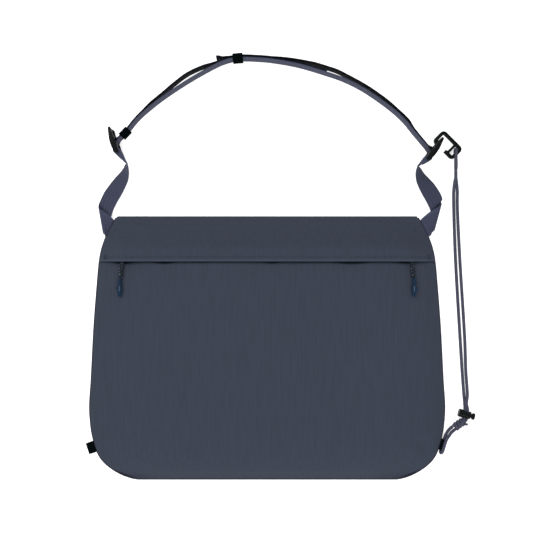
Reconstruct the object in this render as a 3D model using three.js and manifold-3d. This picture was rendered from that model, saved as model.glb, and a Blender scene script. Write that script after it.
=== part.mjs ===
// Cycling musette bag, lying on its back with its shoulder strap standing on edge above it.
// Millimetres, +Z up, the floor at z = 0, the origin under the middle of the bag.

import * as THREE from 'three';
import { mergeVertices } from 'three/addons/utils/BufferGeometryUtils.js';
import Module from 'manifold-3d';

const wasm = await Module();
wasm.setup();

// Driving dimensions of the bag
const BAG_WIDTH = 387.5;
const BAG_HEIGHT = 287;
const BAG_LOFT = 15;
const SEAM_HEIGHT = 5;
const CLOTH = 1.2;
const CLEARANCE = 0.3;
const FLOOR_GAP = 0.2;
const SEAM_GAP = 0.5;
const SIDE_ROUNDING = 70;
const TOP_ROUNDING = 42;
const BOTTOM_ROUNDING = 48;
const BACK_ROUNDING = 26;
const FLAP_DEPTH = 49.5;
const FLAP_OVERLAP = 10.5;
const FLAP_BULGE = 4;
const FLAP_LIFT = { start: 0.33, end: 0.9 };
const LOFT_FULLNESS = 2.2;
const FOLD_FADE = 3;
const PANEL_GRIDS = {
  back: { rows: 15, crowding: 1.5, columns: 20 },
  front: { rows: 20, crowding: 1.8, columns: 30 },
  flap: { rows: 10, crowding: 1.15, columns: 30 },
};

// Driving dimensions of the zip and its pulls
const ZIP_TAPE_WIDTH = 20;
const ZIP_TAPE_THICK = 1;
const ZIP_TEETH_WIDTH = 4;
const ZIP_TEETH_HEIGHT = 1.6;
const ZIP_ROOM = 0.6;
const ZIP_END_MARGIN = 20;
const ZIP_TEETH_EDGE = 0.1;
const SLIDER_SIZE = { width: 7, length: 11, height: 2 };
const SLIDER_TILT_ROOM = 1.2;
const PULL_INSET = 27;
const PULL_CORD_DIAMETER = 3.4;
const PULL_CORD_LENGTH = 27;
const PULL_END_LENGTH = 20;
const PULL_END_DIAMETER = 6.4;
const PULL_LIFT_WIDTH = 13;
const PULL_LEAN = { left: -4.5, right: 3.5 };
const PULL_SIDES = 10;

// Driving dimensions of the webbing
const WEB_WIDTH = 20;
const WEB_THICK = 1;
const WEB_SEAM_DEPTH = 13.5;
const WEB_REACH = 72;
const WEB_ROLL_RADIUS = 3;
const WEB_ROLL_TURNS = 5;
const WEB_STEP = 6;
const STRAP_RISE = 100;
const STRAP_STEP = 7;
const STRAP_LIFT_FADE = { near: 30, far: 100 };
const TAIL_SLACK = 5.6;
const TAIL_LEFT_END = 0.652;
const TAIL_RIGHT_END = 0.345;

// Driving dimensions of the ladder lock buckles
const BUCKLE_LENGTH = 29.5;
const RAIL_THICK = 3;
const BAR_DIAMETER = 4.1;
const TOP_BAR_DIAMETER = 2.4;
const ANCHOR_BAR_PLACE = 4;
const MIDDLE_BAR_PLACE = 12.6;
const TOP_BAR_PLACE = 28;
const BAR_OFFSET = -0.7;
const WEB_SIDE_ROOM = 0.5;
const BAR_SIDES = 12;
const LOOP_STEPS = 9;
const LOOP_LEG_END = 7;
const WEB_PINCH_DROP = 1.2;

// Driving dimensions of the keepers and tabs
const KEEPER_LENGTH = 11;
const KEEPER_THICK = 1;
const KEEPER_PLACE = 9.7;
const MIDDLE_KEEPER_PLACE = 0.403;
const TAB_WIDTH = 12;
const TAB_WALL = 1;
const TAB_REACH = { left: 9.5, right: 6.5 };
const TAB_DEPTH = 249;
const TAB_DROP = { left: 2.6, right: 0 };

// Driving dimensions of the hook, the cord and the cord lock
const HOOK_LENGTH = 26.5;
const HOOK_WIDTH = 13.8;
const HOOK_STROKE = 3.9;
const HOOK_THICK = 3.4;
const HOOK_CORNER = 4.6;
const HOOK_INNER_CORNER = 0.8;
const HOOK_CROSSBAR = 2.8;
const HOOK_CROSSBAR_PLACE = 7.4;
const HOOK_MOUTH = { start: 8.4, length: 7 };
const HOOK_TURN = -45;
const CORD_DIAMETER = 3.4;
const CORD_SIDES = 8;
const CORD_STEPS_PER_SPAN = 2;
const LOCK_LENGTH = 13;
const LOCK_DIAMETER = 8.6;
const LOCK_WALL = 1.2;
const LOCK_TURN = -16;
const LOCK_HOLE_PLACE = 8.2;
const BUTTON_DIAMETER = 7.4;
const BUTTON_HEIGHT = 2.2;
const BUTTON_TRAVEL = 2.2;
const PLUNGER_DIAMETER = 5.8;
const KNOT_LENGTH = 15.5;
const KNOT_DIAMETER = 9.2;
const KNOT_TURN = 211;
const KNOT_END = { length: 8.7, diameter: 2.7, turn: 142 };
const TURNED_SIDES = 16;
const BORE_SIDES = 14;
const KNOT_SIDES = 10;

// The outline: half widths down the bag, as shares of its width and height
const OUTLINE = [
  { depth: 0, half: 0.4218 },
  { depth: 0.016, half: 0.4294 },
  { depth: 0.079, half: 0.454 },
  { depth: 0.137, half: 0.468 },
  { depth: 0.172, half: 0.4725 },
  { depth: 0.26, half: 0.4785 },
  { depth: 0.43, half: 0.488 },
  { depth: 0.626, half: 0.4955 },
  { depth: 0.73, half: 0.5 },
  { depth: 0.8, half: 0.4965 },
  { depth: 0.855, half: 0.4885 },
  { depth: 0.895, half: 0.4792 },
  { depth: 0.918, half: 0.4708 },
  { depth: 0.945, half: 0.453 },
  { depth: 0.979, half: 0.4153 },
  { depth: 0.9965, half: 0.38 },
  { depth: 1, half: 0.365 },
];

// Folds of the front cloth: places as shares of the width and height, rises as shares of the loft
const FOLDS = [
  { x: 0.446, y: -0.378, turn: 135, length: 0.05, width: 0.02, rise: -0.16 },
  { x: -0.446, y: -0.382, turn: 45, length: 0.045, width: 0.02, rise: -0.12 },
  { x: -0.42, y: 0.29, turn: 78, length: 0.07, width: 0.018, rise: 0.07 },
  { x: -0.29, y: 0.285, turn: 96, length: 0.09, width: 0.022, rise: 0.06 },
  { x: 0.01, y: 0.295, turn: 88, length: 0.06, width: 0.02, rise: 0.06 },
  { x: 0.21, y: 0.285, turn: 80, length: 0.09, width: 0.026, rise: 0.07 },
  { x: 0.385, y: 0.29, turn: 100, length: 0.07, width: 0.02, rise: 0.06 },
  { x: -0.17, y: -0.1, turn: 64, length: 0.28, width: 0.05, rise: -0.05 },
  { x: 0.2, y: -0.16, turn: 118, length: 0.26, width: 0.05, rise: -0.06 },
  { x: 0.02, y: -0.36, turn: 4, length: 0.3, width: 0.03, rise: -0.05 },
];

// The side webbings from the seam to the pinch: places as shares of the web's reach, the turn of
// the webbing's width in the plan and its tilt out of it in degrees
const WEB_ROWS = {
  right: {
    seamTurn: 117,
    rollTurn: 75,
    roll: { x: 0.161, y: 0.129, advance: 0.139 },
    rows: [
      { x: 0.2, y: 0.353, turn: 45, tilt: -12 },
      { x: 0.159, y: 0.456, turn: 42, tilt: -13 },
      { x: 0.076, y: 0.59, turn: 38, tilt: -19 },
      { x: -0.001, y: 0.695, turn: 36, tilt: -32 },
      { x: -0.062, y: 0.783, turn: 36, tilt: -46 },
      { x: -0.098, y: 0.868, turn: 40, tilt: -58 },
      { x: -0.109, y: 0.934, turn: 40, tilt: -74 },
    ],
  },
  left: {
    seamTurn: 117,
    rollTurn: 80,
    roll: { x: 0.097, y: 0.085, advance: 0.135 },
    rows: [
      { x: 0.09, y: 0.268, turn: 41, tilt: -12 },
      { x: 0.058, y: 0.358, turn: 43, tilt: -15 },
      { x: 0.001, y: 0.474, turn: 38, tilt: -18 },
      { x: -0.07, y: 0.583, turn: 35, tilt: -22 },
      { x: -0.151, y: 0.704, turn: 33, tilt: -33 },
      { x: -0.212, y: 0.794, turn: 36, tilt: -45 },
      { x: -0.251, y: 0.88, turn: 38, tilt: -59 },
      { x: -0.263, y: 0.978, turn: 30, tilt: -76 },
    ],
  },
};

// The shoulder strap's middle: along from the left buckle to the right one, rise above the line
// between them as a share of the strap's rise
const STRAP_ROWS = [
  { along: 0.0142, rise: 0.0384 },
  { along: 0.036, rise: 0.112 },
  { along: 0.073, rise: 0.268 },
  { along: 0.126, rise: 0.436 },
  { along: 0.189, rise: 0.600 },
  { along: 0.251, rise: 0.740 },
  { along: 0.309, rise: 0.856 },
  { along: 0.338, rise: 0.906 },
  { along: 0.368, rise: 0.940 },
  { along: 0.406, rise: 0.955 },
  { along: 0.445, rise: 0.954 },
  { along: 0.489, rise: 0.946 },
  { along: 0.575, rise: 0.903 },
  { along: 0.660, rise: 0.826 },
  { along: 0.724, rise: 0.755 },
  { along: 0.782, rise: 0.659 },
  { along: 0.839, rise: 0.532 },
  { along: 0.882, rise: 0.419 },
  { along: 0.913, rise: 0.318 },
  { along: 0.941, rise: 0.201 },
  { along: 0.979, rise: 0.051 },
];

// How far the tails stand off the strap inside them, as shares of the tails' slack
const TAIL_LEFT_ROWS = [
  { along: 0, apart: 0 },
  { along: 0.06, apart: 0.03 },
  { along: 0.1, apart: 0.11 },
  { along: 0.13, apart: 0.3 },
  { along: 0.17, apart: 0.42 },
  { along: 0.21, apart: 0.72 },
  { along: 0.26, apart: 1 },
  { along: 0.305, apart: 0.72 },
  { along: 0.335, apart: 0.28 },
  { along: 0.365, apart: 0 },
  { along: 1, apart: 0 },
];
const TAIL_RIGHT_ROWS = [
  { along: 0.33, apart: 1.38 },
  { along: 0.345, apart: 1.2 },
  { along: 0.365, apart: 0.52 },
  { along: 0.388, apart: 0.24 },
  { along: 0.45, apart: 0.235 },
  { along: 0.49, apart: 0.25 },
  { along: 0.53, apart: 0.45 },
  { along: 0.58, apart: 0.66 },
  { along: 0.627, apart: 0.88 },
  { along: 0.67, apart: 0.88 },
  { along: 0.71, apart: 0.62 },
  { along: 0.745, apart: 0.53 },
  { along: 0.83, apart: 0.46 },
  { along: 0.88, apart: 0.3 },
  { along: 0.91, apart: 0.32 },
  { along: 0.94, apart: 0.08 },
  { along: 1, apart: 0 },
];

// The buckle's side profile: along it from the anchor end, across it towards the strap
const BUCKLE_PROFILE = [
  { along: 0.005, across: -0.017 },
  { along: 0.04, across: -0.066 },
  { along: 0.12, across: -0.102 },
  { along: 0.25, across: -0.13 },
  { along: 0.42, across: -0.139 },
  { along: 0.6, across: -0.125 },
  { along: 0.78, across: -0.09 },
  { along: 0.93, across: -0.056 },
  { along: 0.985, across: -0.037 },
  { along: 1, across: 0 },
  { along: 0.985, across: 0.037 },
  { along: 0.93, across: 0.056 },
  { along: 0.8, across: 0.04 },
  { along: 0.65, across: 0.056 },
  { along: 0.43, across: 0.078 },
  { along: 0.2, across: 0.081 },
  { along: 0.07, across: 0.06 },
  { along: 0.015, across: 0.025 },
];

// The stabiliser cord's route, chosen by hand: up one strand, round the hook's end, down the other
const CORD_UPPER_ROUTE = [
  [215.0, -75.8, 4.5],
  [215.7, -73.0, 4.5],
  [216.6, -68.4, 4.4],
  [216.8, -61.5, 2.2],
  [216.1, -54.0, 1.9],
  [214.1, -27.0, 1.9],
  [211.9, 7.9, 1.9],
  [206.6, 100.1, 1.9],
  [204.8, 156.5, 1.9],
  [204.8, 171.0, 2.0],
  [205.3, 179.0, 3.6],
  [206.4, 188.0, 5.8],
  [206.0, 197.0, 6.8],
  [205.7, 203.5, 8.6],
  [205.7, 208.0, 9.9],
  [205.8, 213.2, 9.9],
  [205.9, 215.7, 9.1],
  [205.9, 216.5, 7.4],
  [206.0, 216.5, 4.6],
  [206.1, 215.7, 2.9],
  [206.3, 213.2, 2.0],
  [207.4, 207.5, 1.9],
  [207.6, 199.0, 1.9],
  [207.0, 190.0, 1.9],
  [207.8, 182.5, 1.9],
  [208.8, 172.0, 1.9],
  [208.8, 156.5, 1.9],
  [211.4, 100.1, 1.9],
  [217.0, 7.9, 1.9],
  [218.2, -27.0, 1.9],
  [219.5, -45.0, 2.0],
  [219.4, -53.5, 3.8],
  [218.0, -61.0, 6.0],
  [219.4, -68.4, 4.9],
  [219.4, -73.9, 4.5],
  [218.6, -77.0, 4.5],
];

// The lower loop's route, chosen by hand: from the knot through the tab and back
const CORD_LOWER_ROUTE = [
  [202.8, -86.8, 4.1],
  [199.8, -90.0, 2.8],
  [196.8, -94.6, 2.4],
  [194.8, -98.6, 3.1],
  [193.7, -101.0, 3.3],
  [190.1, -112.4, 3.3],
  [189.7, -114.6, 4.0],
  [190.0, -115.5, 5.7],
  [190.7, -114.9, 7.5],
  [191.5, -113.2, 8.2],
  [193.3, -107.5, 8.3],
  [195.3, -101.5, 8.0],
  [197.2, -98.8, 6.5],
  [199.7, -96.2, 4.6],
  [202.3, -93.0, 3.6],
  [205.2, -90.6, 4.1],
];

// Materials
function material(colour, roughness, metalness = 0) {
  return new THREE.MeshStandardMaterial({ color: colour, roughness, metalness });
}
const SHELL_CLOTH = { colour: 0x40474f, roughness: 0.85 };
const WEBBING = { colour: 0x54556a, roughness: 0.8 };
const ELASTIC = { colour: 0x141416, roughness: 0.9 };
const BLACK_PLASTIC = { colour: 0x16181a, roughness: 0.45 };
const PULL_PLASTIC = { colour: 0x243447, roughness: 0.5 };
const CORD_BRAID = { colour: 0x5b6070, roughness: 0.8 };

const bag = new THREE.Group();

function addPart(name, geometry, finish) {
  const mesh = new THREE.Mesh(geometry, material(finish.colour, finish.roughness));
  mesh.name = name;
  bag.add(mesh);
  return mesh;
}

// Interpolation along a table by one of its columns
function tableValue(rows, key, place, column) {
  if (place <= rows[0][key]) {
    return rows[0][column];
  }
  const last = rows.length - 1;
  if (place >= rows[last][key]) {
    return rows[last][column];
  }
  const at = rows.findIndex((row) => row[key] > place) - 1;
  const span = (k) => rows[k + 1][key] - rows[k][key];
  const slope = (k) => (rows[k + 1][column] - rows[k][column]) / span(k);
  const tangent = (k) => {
    if (k === 0) {
      return slope(0);
    }
    if (k === last) {
      return slope(last - 1);
    }
    const before = slope(k - 1);
    const after = slope(k);
    return before * after <= 0 ? 0 : (2 * before * after) / (before + after);
  };
  const share = (place - rows[at][key]) / span(at);
  const squared = share * share;
  const cubed = squared * share;
  return (2 * cubed - 3 * squared + 1) * rows[at][column]
    + (cubed - 2 * squared + share) * span(at) * tangent(at)
    + (3 * squared - 2 * cubed) * rows[at + 1][column]
    + (cubed - squared) * span(at) * tangent(at + 1);
}

function smoothStep(value, low, high) {
  const share = THREE.MathUtils.clamp((value - low) / (high - low), 0, 1);
  return share * share * (3 - 2 * share);
}

// Closed geometry from vertices and triangles
function fromVertices(vertices, triangles) {
  const geometry = new THREE.BufferGeometry();
  geometry.setAttribute('position', new THREE.Float32BufferAttribute(vertices.flat(), 3));
  geometry.setIndex(triangles.flat());
  return geometry;
}

// A closed sheet between an upper and a lower grid of points, row by row
function sheetSolid(upper, lower) {
  const rowCount = upper.length;
  const columnCount = upper[0].length;
  const vertices = [...upper.flat(), ...lower.flat()];
  const top = (r, c) => r * columnCount + c;
  const bottom = (r, c) => rowCount * columnCount + r * columnCount + c;
  const triangles = [];
  for (let r = 0; r < rowCount - 1; r += 1) {
    for (let c = 0; c < columnCount - 1; c += 1) {
      triangles.push([top(r, c), top(r + 1, c), top(r + 1, c + 1)]);
      triangles.push([top(r, c), top(r + 1, c + 1), top(r, c + 1)]);
      triangles.push([bottom(r, c), bottom(r + 1, c + 1), bottom(r + 1, c)]);
      triangles.push([bottom(r, c), bottom(r, c + 1), bottom(r + 1, c + 1)]);
    }
  }
  const rim = [];
  for (let c = 0; c < columnCount - 1; c += 1) {
    rim.push([0, c]);
  }
  for (let r = 0; r < rowCount - 1; r += 1) {
    rim.push([r, columnCount - 1]);
  }
  for (let c = columnCount - 1; c > 0; c -= 1) {
    rim.push([rowCount - 1, c]);
  }
  for (let r = rowCount - 1; r > 0; r -= 1) {
    rim.push([r, 0]);
  }
  rim.forEach(([r, c], index) => {
    const [nextR, nextC] = rim[(index + 1) % rim.length];
    triangles.push([top(r, c), top(nextR, nextC), bottom(nextR, nextC)]);
    triangles.push([top(r, c), bottom(nextR, nextC), bottom(r, c)]);
  });
  return fromVertices(vertices, triangles);
}

// A closed webbing through stations, each with its middle, the direction of its width and its normal
function ribbonSolid(stations, thick) {
  const vertices = [];
  const triangles = [];
  stations.forEach(({ middle, across, normal }) => {
    const flank = normal.clone().multiplyScalar(thick / 2);
    [[-1, -1], [1, -1], [1, 1], [-1, 1]].forEach(([side, face]) => {
      const corner = middle.clone().addScaledVector(across, side / 2).addScaledVector(flank, face);
      vertices.push(corner.toArray());
    });
  });
  for (let s = 0; s < stations.length - 1; s += 1) {
    for (let k = 0; k < 4; k += 1) {
      const a = s * 4 + k;
      const b = s * 4 + ((k + 1) % 4);
      triangles.push([a, b, b + 4], [a, b + 4, a + 4]);
    }
  }
  const end = (stations.length - 1) * 4;
  triangles.push([0, 2, 1], [0, 3, 2], [end, end + 1, end + 2], [end, end + 2, end + 3]);
  return fromVertices(vertices, triangles);
}

// Tangents of a list of points
function tangentAt(points, index) {
  const before = points[Math.max(index - 1, 0)];
  const after = points[Math.min(index + 1, points.length - 1)];
  return after.clone().sub(before).normalize();
}

// A smooth line through control points, with steps no longer than the one given
function smoothLine(controls, longestStep) {
  const curve = new THREE.CatmullRomCurve3(controls, false, 'centripetal');
  const points = [];
  for (let k = 0; k < controls.length - 1; k += 1) {
    const steps = Math.max(1, Math.round(controls[k].distanceTo(controls[k + 1]) / longestStep));
    for (let s = 0; s < steps; s += 1) {
      points.push(curve.getPoint((k + s / steps) / (controls.length - 1)));
    }
  }
  points.push(controls[controls.length - 1].clone());
  return points;
}

// A route whose steps are shared evenly between its points, so close points give short steps
class Route extends THREE.CatmullRomCurve3 {
  getUtoTmapping(share) {
    return share;
  }
}

// A cord as a plain tube along its route
function cordTube(route, diameter) {
  const curve = new Route(route.map((p) => new THREE.Vector3(...p)), false, 'centripetal');
  const steps = (route.length - 1) * CORD_STEPS_PER_SPAN;
  const section = new THREE.Shape();
  for (let k = 0; k < CORD_SIDES; k += 1) {
    const angle = ((k + 0.5) * 2 * Math.PI) / CORD_SIDES;
    const x = (Math.cos(angle) * diameter) / 2;
    const y = (Math.sin(angle) * diameter) / 2;
    if (k === 0) {
      section.moveTo(x, y);
    } else {
      section.lineTo(x, y);
    }
  }
  section.closePath();
  return new THREE.ExtrudeGeometry(section, { steps, extrudePath: curve, bevelEnabled: false });
}

// Boolean joins and cuts
function toSolid(geometry) {
  const bare = geometry.clone();
  Object.keys(bare.attributes).forEach((name) => {
    if (name !== 'position') {
      bare.deleteAttribute(name);
    }
  });
  const merged = mergeVertices(bare, 1e-4);
  return new wasm.Manifold(new wasm.Mesh({
    numProp: 3,
    vertProperties: new Float32Array(merged.attributes.position.array),
    triVerts: new Uint32Array(merged.index.array),
  }));
}

function fromSolid(solid) {
  const mesh = solid.getMesh();
  const geometry = new THREE.BufferGeometry();
  geometry.setAttribute('position', new THREE.Float32BufferAttribute(mesh.vertProperties, 3));
  geometry.setIndex(Array.from(mesh.triVerts));
  return geometry;
}

function joined(geometries) {
  return geometries.map(toSolid).reduce((whole, piece) => whole.add(piece));
}

function uprightCylinder(diameter, height, x, y, sides) {
  const cylinder = new THREE.CylinderGeometry(diameter / 2, diameter / 2, height, sides);
  cylinder.rotateX(Math.PI / 2);
  cylinder.translate(x, y, height / 2);
  return cylinder;
}

// The bag's outline in the plan
function halfWidth(depth) {
  return BAG_WIDTH * tableValue(OUTLINE, 'depth', depth / BAG_HEIGHT, 'half');
}

function seamPoint(sign, depth) {
  const point = new THREE.Vector3(sign * halfWidth(depth), BAG_HEIGHT / 2 - depth, SEAM_HEIGHT);
  const below = new THREE.Vector3(sign * halfWidth(depth + 1), point.y - 1, SEAM_HEIGHT);
  const along = below.sub(point).normalize();
  const outward = new THREE.Vector3(-along.y * sign, along.x * sign, 0);
  return { point, outward };
}

// The loft of the front: how far the cloth stands above the seam
function rounding(distance, reach) {
  const rest = 1 - Math.min(Math.max(distance, 0) / reach, 1);
  return 1 - rest ** LOFT_FULLNESS;
}

function foldRise(x, y) {
  return FOLDS.reduce((sum, fold) => {
    const turn = THREE.MathUtils.degToRad(fold.turn);
    const dx = x - fold.x * BAG_WIDTH;
    const dy = y - fold.y * BAG_HEIGHT;
    const along = (dx * Math.cos(turn) + dy * Math.sin(turn)) / (fold.length * BAG_HEIGHT);
    const across = (dy * Math.cos(turn) - dx * Math.sin(turn)) / (fold.width * BAG_WIDTH);
    return sum + fold.rise * BAG_LOFT * Math.exp(-along * along - across * across);
  }, 0);
}

function loft(x, y) {
  const depth = BAG_HEIGHT / 2 - y;
  const side = rounding(halfWidth(depth) - Math.abs(x), SIDE_ROUNDING);
  const ends = rounding(depth, TOP_ROUNDING) * rounding(BAG_HEIGHT - depth, BOTTOM_ROUNDING);
  const edge = Math.min(side * ends * FOLD_FADE, 1);
  return BAG_LOFT * side * ends + foldRise(x, y) * edge;
}

const FRONT_DEPTH = FLAP_DEPTH - FLAP_OVERLAP;
const ZIP_DEPTH = FRONT_DEPTH - ZIP_ROOM - ZIP_TEETH_WIDTH / 2;
const PULL_X = halfWidth(FLAP_DEPTH) - PULL_INSET;

function frontUnderside(x, y) {
  return SEAM_HEIGHT + CLEARANCE / 2 + loft(x, y);
}

// The flap lies on the front cloth at its free edge and bulges over the zip and the pulls
function flapUnderside(x, y) {
  const depth = BAG_HEIGHT / 2 - y;
  const side = Math.min((halfWidth(depth) - Math.abs(x)) / PULL_INSET, 1);
  const share = depth / FRONT_DEPTH;
  const overFront = (CLOTH + CLEARANCE) * smoothStep(share, FLAP_LIFT.start, FLAP_LIFT.end);
  const overZip = FLAP_BULGE * side * Math.exp(-(((depth - ZIP_DEPTH) / FLAP_OVERLAP) ** 2));
  const nearPull = Math.exp(-(((Math.abs(x) - PULL_X) / PULL_LIFT_WIDTH) ** 2));
  const overPull = PULL_CORD_DIAMETER * nearPull * smoothStep(share, 0.5, 1);
  return frontUnderside(x, y) + overFront + overZip + overPull;
}

// Grids over the bag: rows down it, columns across it
function gridRows(firstDepth, lastDepth, { rows, crowding }) {
  return Array.from({ length: rows + 1 }, (_, k) => {
    const share = 1 - (1 - k / rows) ** crowding;
    return firstDepth + (lastDepth - firstDepth) * share;
  });
}

function gridPoints(depths, columns, inset, height) {
  return depths.map((depth) => Array.from({ length: columns + 1 }, (_, k) => {
    const share = Math.sin(((k / columns) * 2 - 1) * (Math.PI / 2));
    const x = share * (halfWidth(depth) - inset);
    const y = BAG_HEIGHT / 2 - depth;
    return [x, y, height(x, y, depth)];
  }));
}

// Cloth panels
function backUnderside(x, y) {
  const depth = BAG_HEIGHT / 2 - y;
  const side = rounding(halfWidth(depth) - Math.abs(x), BACK_ROUNDING);
  const ends = rounding(depth, BACK_ROUNDING) * rounding(BAG_HEIGHT - depth, BACK_ROUNDING);
  const rimHeight = SEAM_HEIGHT - CLEARANCE / 2 - CLOTH;
  return rimHeight * (1 - side * ends);
}

function addPanel(name, firstDepth, lastDepth, grid, underside) {
  const depths = gridRows(firstDepth, lastDepth, grid);
  const upper = gridPoints(depths, grid.columns, 0, (x, y) => underside(x, y) + CLOTH);
  const lower = gridPoints(depths, grid.columns, 0, underside);
  return addPart(name, sheetSolid(upper, lower), SHELL_CLOTH);
}

addPanel('back_panel', 0, BAG_HEIGHT, PANEL_GRIDS.back, backUnderside);
const FRONT_MESH = addPanel('front_panel', FRONT_DEPTH, BAG_HEIGHT, PANEL_GRIDS.front, frontUnderside);
addPanel('flap_panel', 0, FLAP_DEPTH, PANEL_GRIDS.flap, flapUnderside);

// The height at which a round thing of this radius lies on the front cloth
const REST_SHARES = [-0.9, -0.6, -0.3, 0, 0.3, 0.6, 0.9];

function restingHeight(x, y, radius) {
  const down = new THREE.Vector3(0, 0, -1);
  const above = SEAM_HEIGHT + 4 * BAG_LOFT;
  const heights = REST_SHARES.map((share) => {
    const from = new THREE.Vector3(x + share * radius, y, above);
    const [hit] = new THREE.Raycaster(from, down).intersectObject(FRONT_MESH);
    return (hit ? hit.point.z : SEAM_HEIGHT) + radius * Math.sqrt(1 - share * share);
  });
  return Math.max(...heights) + CLEARANCE;
}

// Zip under the flap
function addZip() {
  const zipTop = (x, y) => frontUnderside(x, y) - ZIP_ROOM;
  const halfTape = ZIP_TAPE_WIDTH / 2;
  const halfTeeth = ZIP_TEETH_WIDTH / 2;
  const edge = halfTeeth + ZIP_TEETH_EDGE;
  const nearTeeth = (depth) => Math.abs(depth - ZIP_DEPTH) < edge - ZIP_TEETH_EDGE / 2;
  const offsets = [-halfTape, -edge, -halfTeeth, halfTeeth, edge, halfTape];
  const depths = offsets.map((offset) => ZIP_DEPTH + offset);
  const { columns } = PANEL_GRIDS.front;
  const upper = gridPoints(depths, columns, ZIP_END_MARGIN, (x, y, depth) => (
    zipTop(x, y) + (nearTeeth(depth) ? ZIP_TEETH_HEIGHT : 0)
  ));
  const lower = gridPoints(depths, columns, ZIP_END_MARGIN, (x, y) => zipTop(x, y) - ZIP_TAPE_THICK);
  addPart('zip_tape', sheetSolid(upper, lower), ELASTIC);
}
addZip();

function addSlider(name, sign) {
  const { width, length, height } = SLIDER_SIZE;
  const outline = new THREE.Shape();
  outline.moveTo(-width / 2, -length / 2);
  outline.lineTo(width / 2, -length / 2);
  outline.lineTo(width / 3, length / 2);
  outline.lineTo(-width / 3, length / 2);
  outline.closePath();
  const body = new THREE.ExtrudeGeometry(outline, { depth: height, bevelEnabled: false, steps: 1 });
  const y = BAG_HEIGHT / 2 - ZIP_DEPTH;
  const x = sign * PULL_X;
  const slope = (loft(x + 1, y) - loft(x - 1, y)) / 2;
  body.rotateZ(-sign * Math.PI / 2);
  body.rotateY(-Math.atan(slope));
  const rise = ZIP_TEETH_HEIGHT + Math.abs(slope) * SLIDER_TILT_ROOM + CLEARANCE;
  body.translate(x, y, frontUnderside(x, y) + rise);
  addPart(name, body, BLACK_PLASTIC);
}

// Pulls: a short cord from under the flap and a moulded end lying on the front
const PULL_END_ROWS = [
  { along: 0, radius: 0.72 },
  { along: 0.12, radius: 0.6 },
  { along: 0.3, radius: 0.66 },
  { along: 0.5, radius: 0.98 },
  { along: 0.62, radius: 0.94 },
  { along: 0.8, radius: 0.68 },
  { along: 0.94, radius: 0.72 },
  { along: 1, radius: 0.6 },
];

const PULL_START_Y = BAG_HEIGHT / 2 - ZIP_DEPTH - SLIDER_SIZE.width / 2 - SEAM_GAP;
const PULL_CORD_SHARES = [0, 0.25, 0.5, 0.75, 1];

function addPull(side, sign) {
  const turn = THREE.MathUtils.degToRad(PULL_LEAN[side]);
  const direction = new THREE.Vector3(Math.sin(turn), -Math.cos(turn), 0);
  const start = new THREE.Vector3(sign * PULL_X, PULL_START_Y, 0);
  const onSurface = (distance, radius) => {
    const point = start.clone().addScaledVector(direction, distance);
    point.z = restingHeight(point.x, point.y, radius);
    return point;
  };
  const cordRadius = PULL_CORD_DIAMETER / 2;
  const endRadius = PULL_END_DIAMETER / 2;
  const cordPoints = PULL_CORD_SHARES.map((share) => (
    onSurface(share * PULL_CORD_LENGTH, cordRadius + (endRadius - cordRadius) * share ** 3)
  ));
  const route = cordPoints.map((point) => point.toArray());
  addPart(`pull_cord_${side}`, cordTube(route, PULL_CORD_DIAMETER), CORD_BRAID);

  const first = cordPoints[cordPoints.length - 1];
  const last = onSurface(PULL_CORD_LENGTH + PULL_END_LENGTH, endRadius);
  const middle = onSurface(PULL_CORD_LENGTH + PULL_END_LENGTH / 2, endRadius);
  last.z = Math.max(last.z, 2 * middle.z - first.z);
  const axis = last.clone().sub(first).normalize();
  const profile = [new THREE.Vector2(0, 0)];
  PULL_END_ROWS.forEach((row) => {
    profile.push(new THREE.Vector2(row.radius * endRadius, row.along * PULL_END_LENGTH));
  });
  profile.push(new THREE.Vector2(0, PULL_END_LENGTH));
  const end = new THREE.LatheGeometry(profile, PULL_SIDES);
  end.applyQuaternion(new THREE.Quaternion().setFromUnitVectors(new THREE.Vector3(0, 1, 0), axis));
  const base = first.clone().addScaledVector(axis, CLEARANCE);
  end.translate(base.x, base.y, base.z);
  addPart(`pull_end_${side}`, end, PULL_PLASTIC);
}

addSlider('zip_slider_left', -1);
addSlider('zip_slider_right', 1);
addPull('left', -1);
addPull('right', 1);

// Webbing tabs in the side seams
const TAB_SLOT = CORD_DIAMETER + 2 * CLEARANCE + FLOOR_GAP;
const TAB_MIDDLE = TAB_SLOT / 2 + TAB_WALL + FLOOR_GAP;
const TAB_CURVE_STEPS = 6;

function racetrack(length, height) {
  const radius = height / 2;
  const outline = new THREE.Shape();
  outline.moveTo(0, -radius);
  outline.lineTo(length - radius, -radius);
  outline.absarc(length - radius, 0, radius, -Math.PI / 2, Math.PI / 2, false);
  outline.lineTo(0, radius);
  outline.closePath();
  return outline;
}

function addTab(side, sign) {
  const { point, outward } = seamPoint(sign, TAB_DEPTH + TAB_DROP[side]);
  const reach = TAB_REACH[side];
  const outline = racetrack(reach, TAB_SLOT + 2 * TAB_WALL);
  const slot = new THREE.Path();
  racetrack(reach - 2 * TAB_WALL, TAB_SLOT).getPoints(TAB_CURVE_STEPS).forEach((corner, k) => {
    if (k === 0) {
      slot.moveTo(corner.x + TAB_WALL, corner.y);
    } else {
      slot.lineTo(corner.x + TAB_WALL, corner.y);
    }
  });
  outline.holes.push(slot);
  const tab = new THREE.ExtrudeGeometry(outline, {
    depth: TAB_WIDTH,
    bevelEnabled: false,
    curveSegments: TAB_CURVE_STEPS,
    steps: 1,
  });
  tab.translate(SEAM_GAP, 0, -TAB_WIDTH / 2);
  const upright = new THREE.Vector3(0, 0, 1);
  const third = new THREE.Vector3().crossVectors(outward, upright);
  tab.applyMatrix4(new THREE.Matrix4().makeBasis(outward, upright, third));
  tab.translate(point.x, point.y, TAB_MIDDLE);
  addPart(`tab_${side}`, tab, ELASTIC);
}
addTab('left', -1);
addTab('right', 1);

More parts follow.
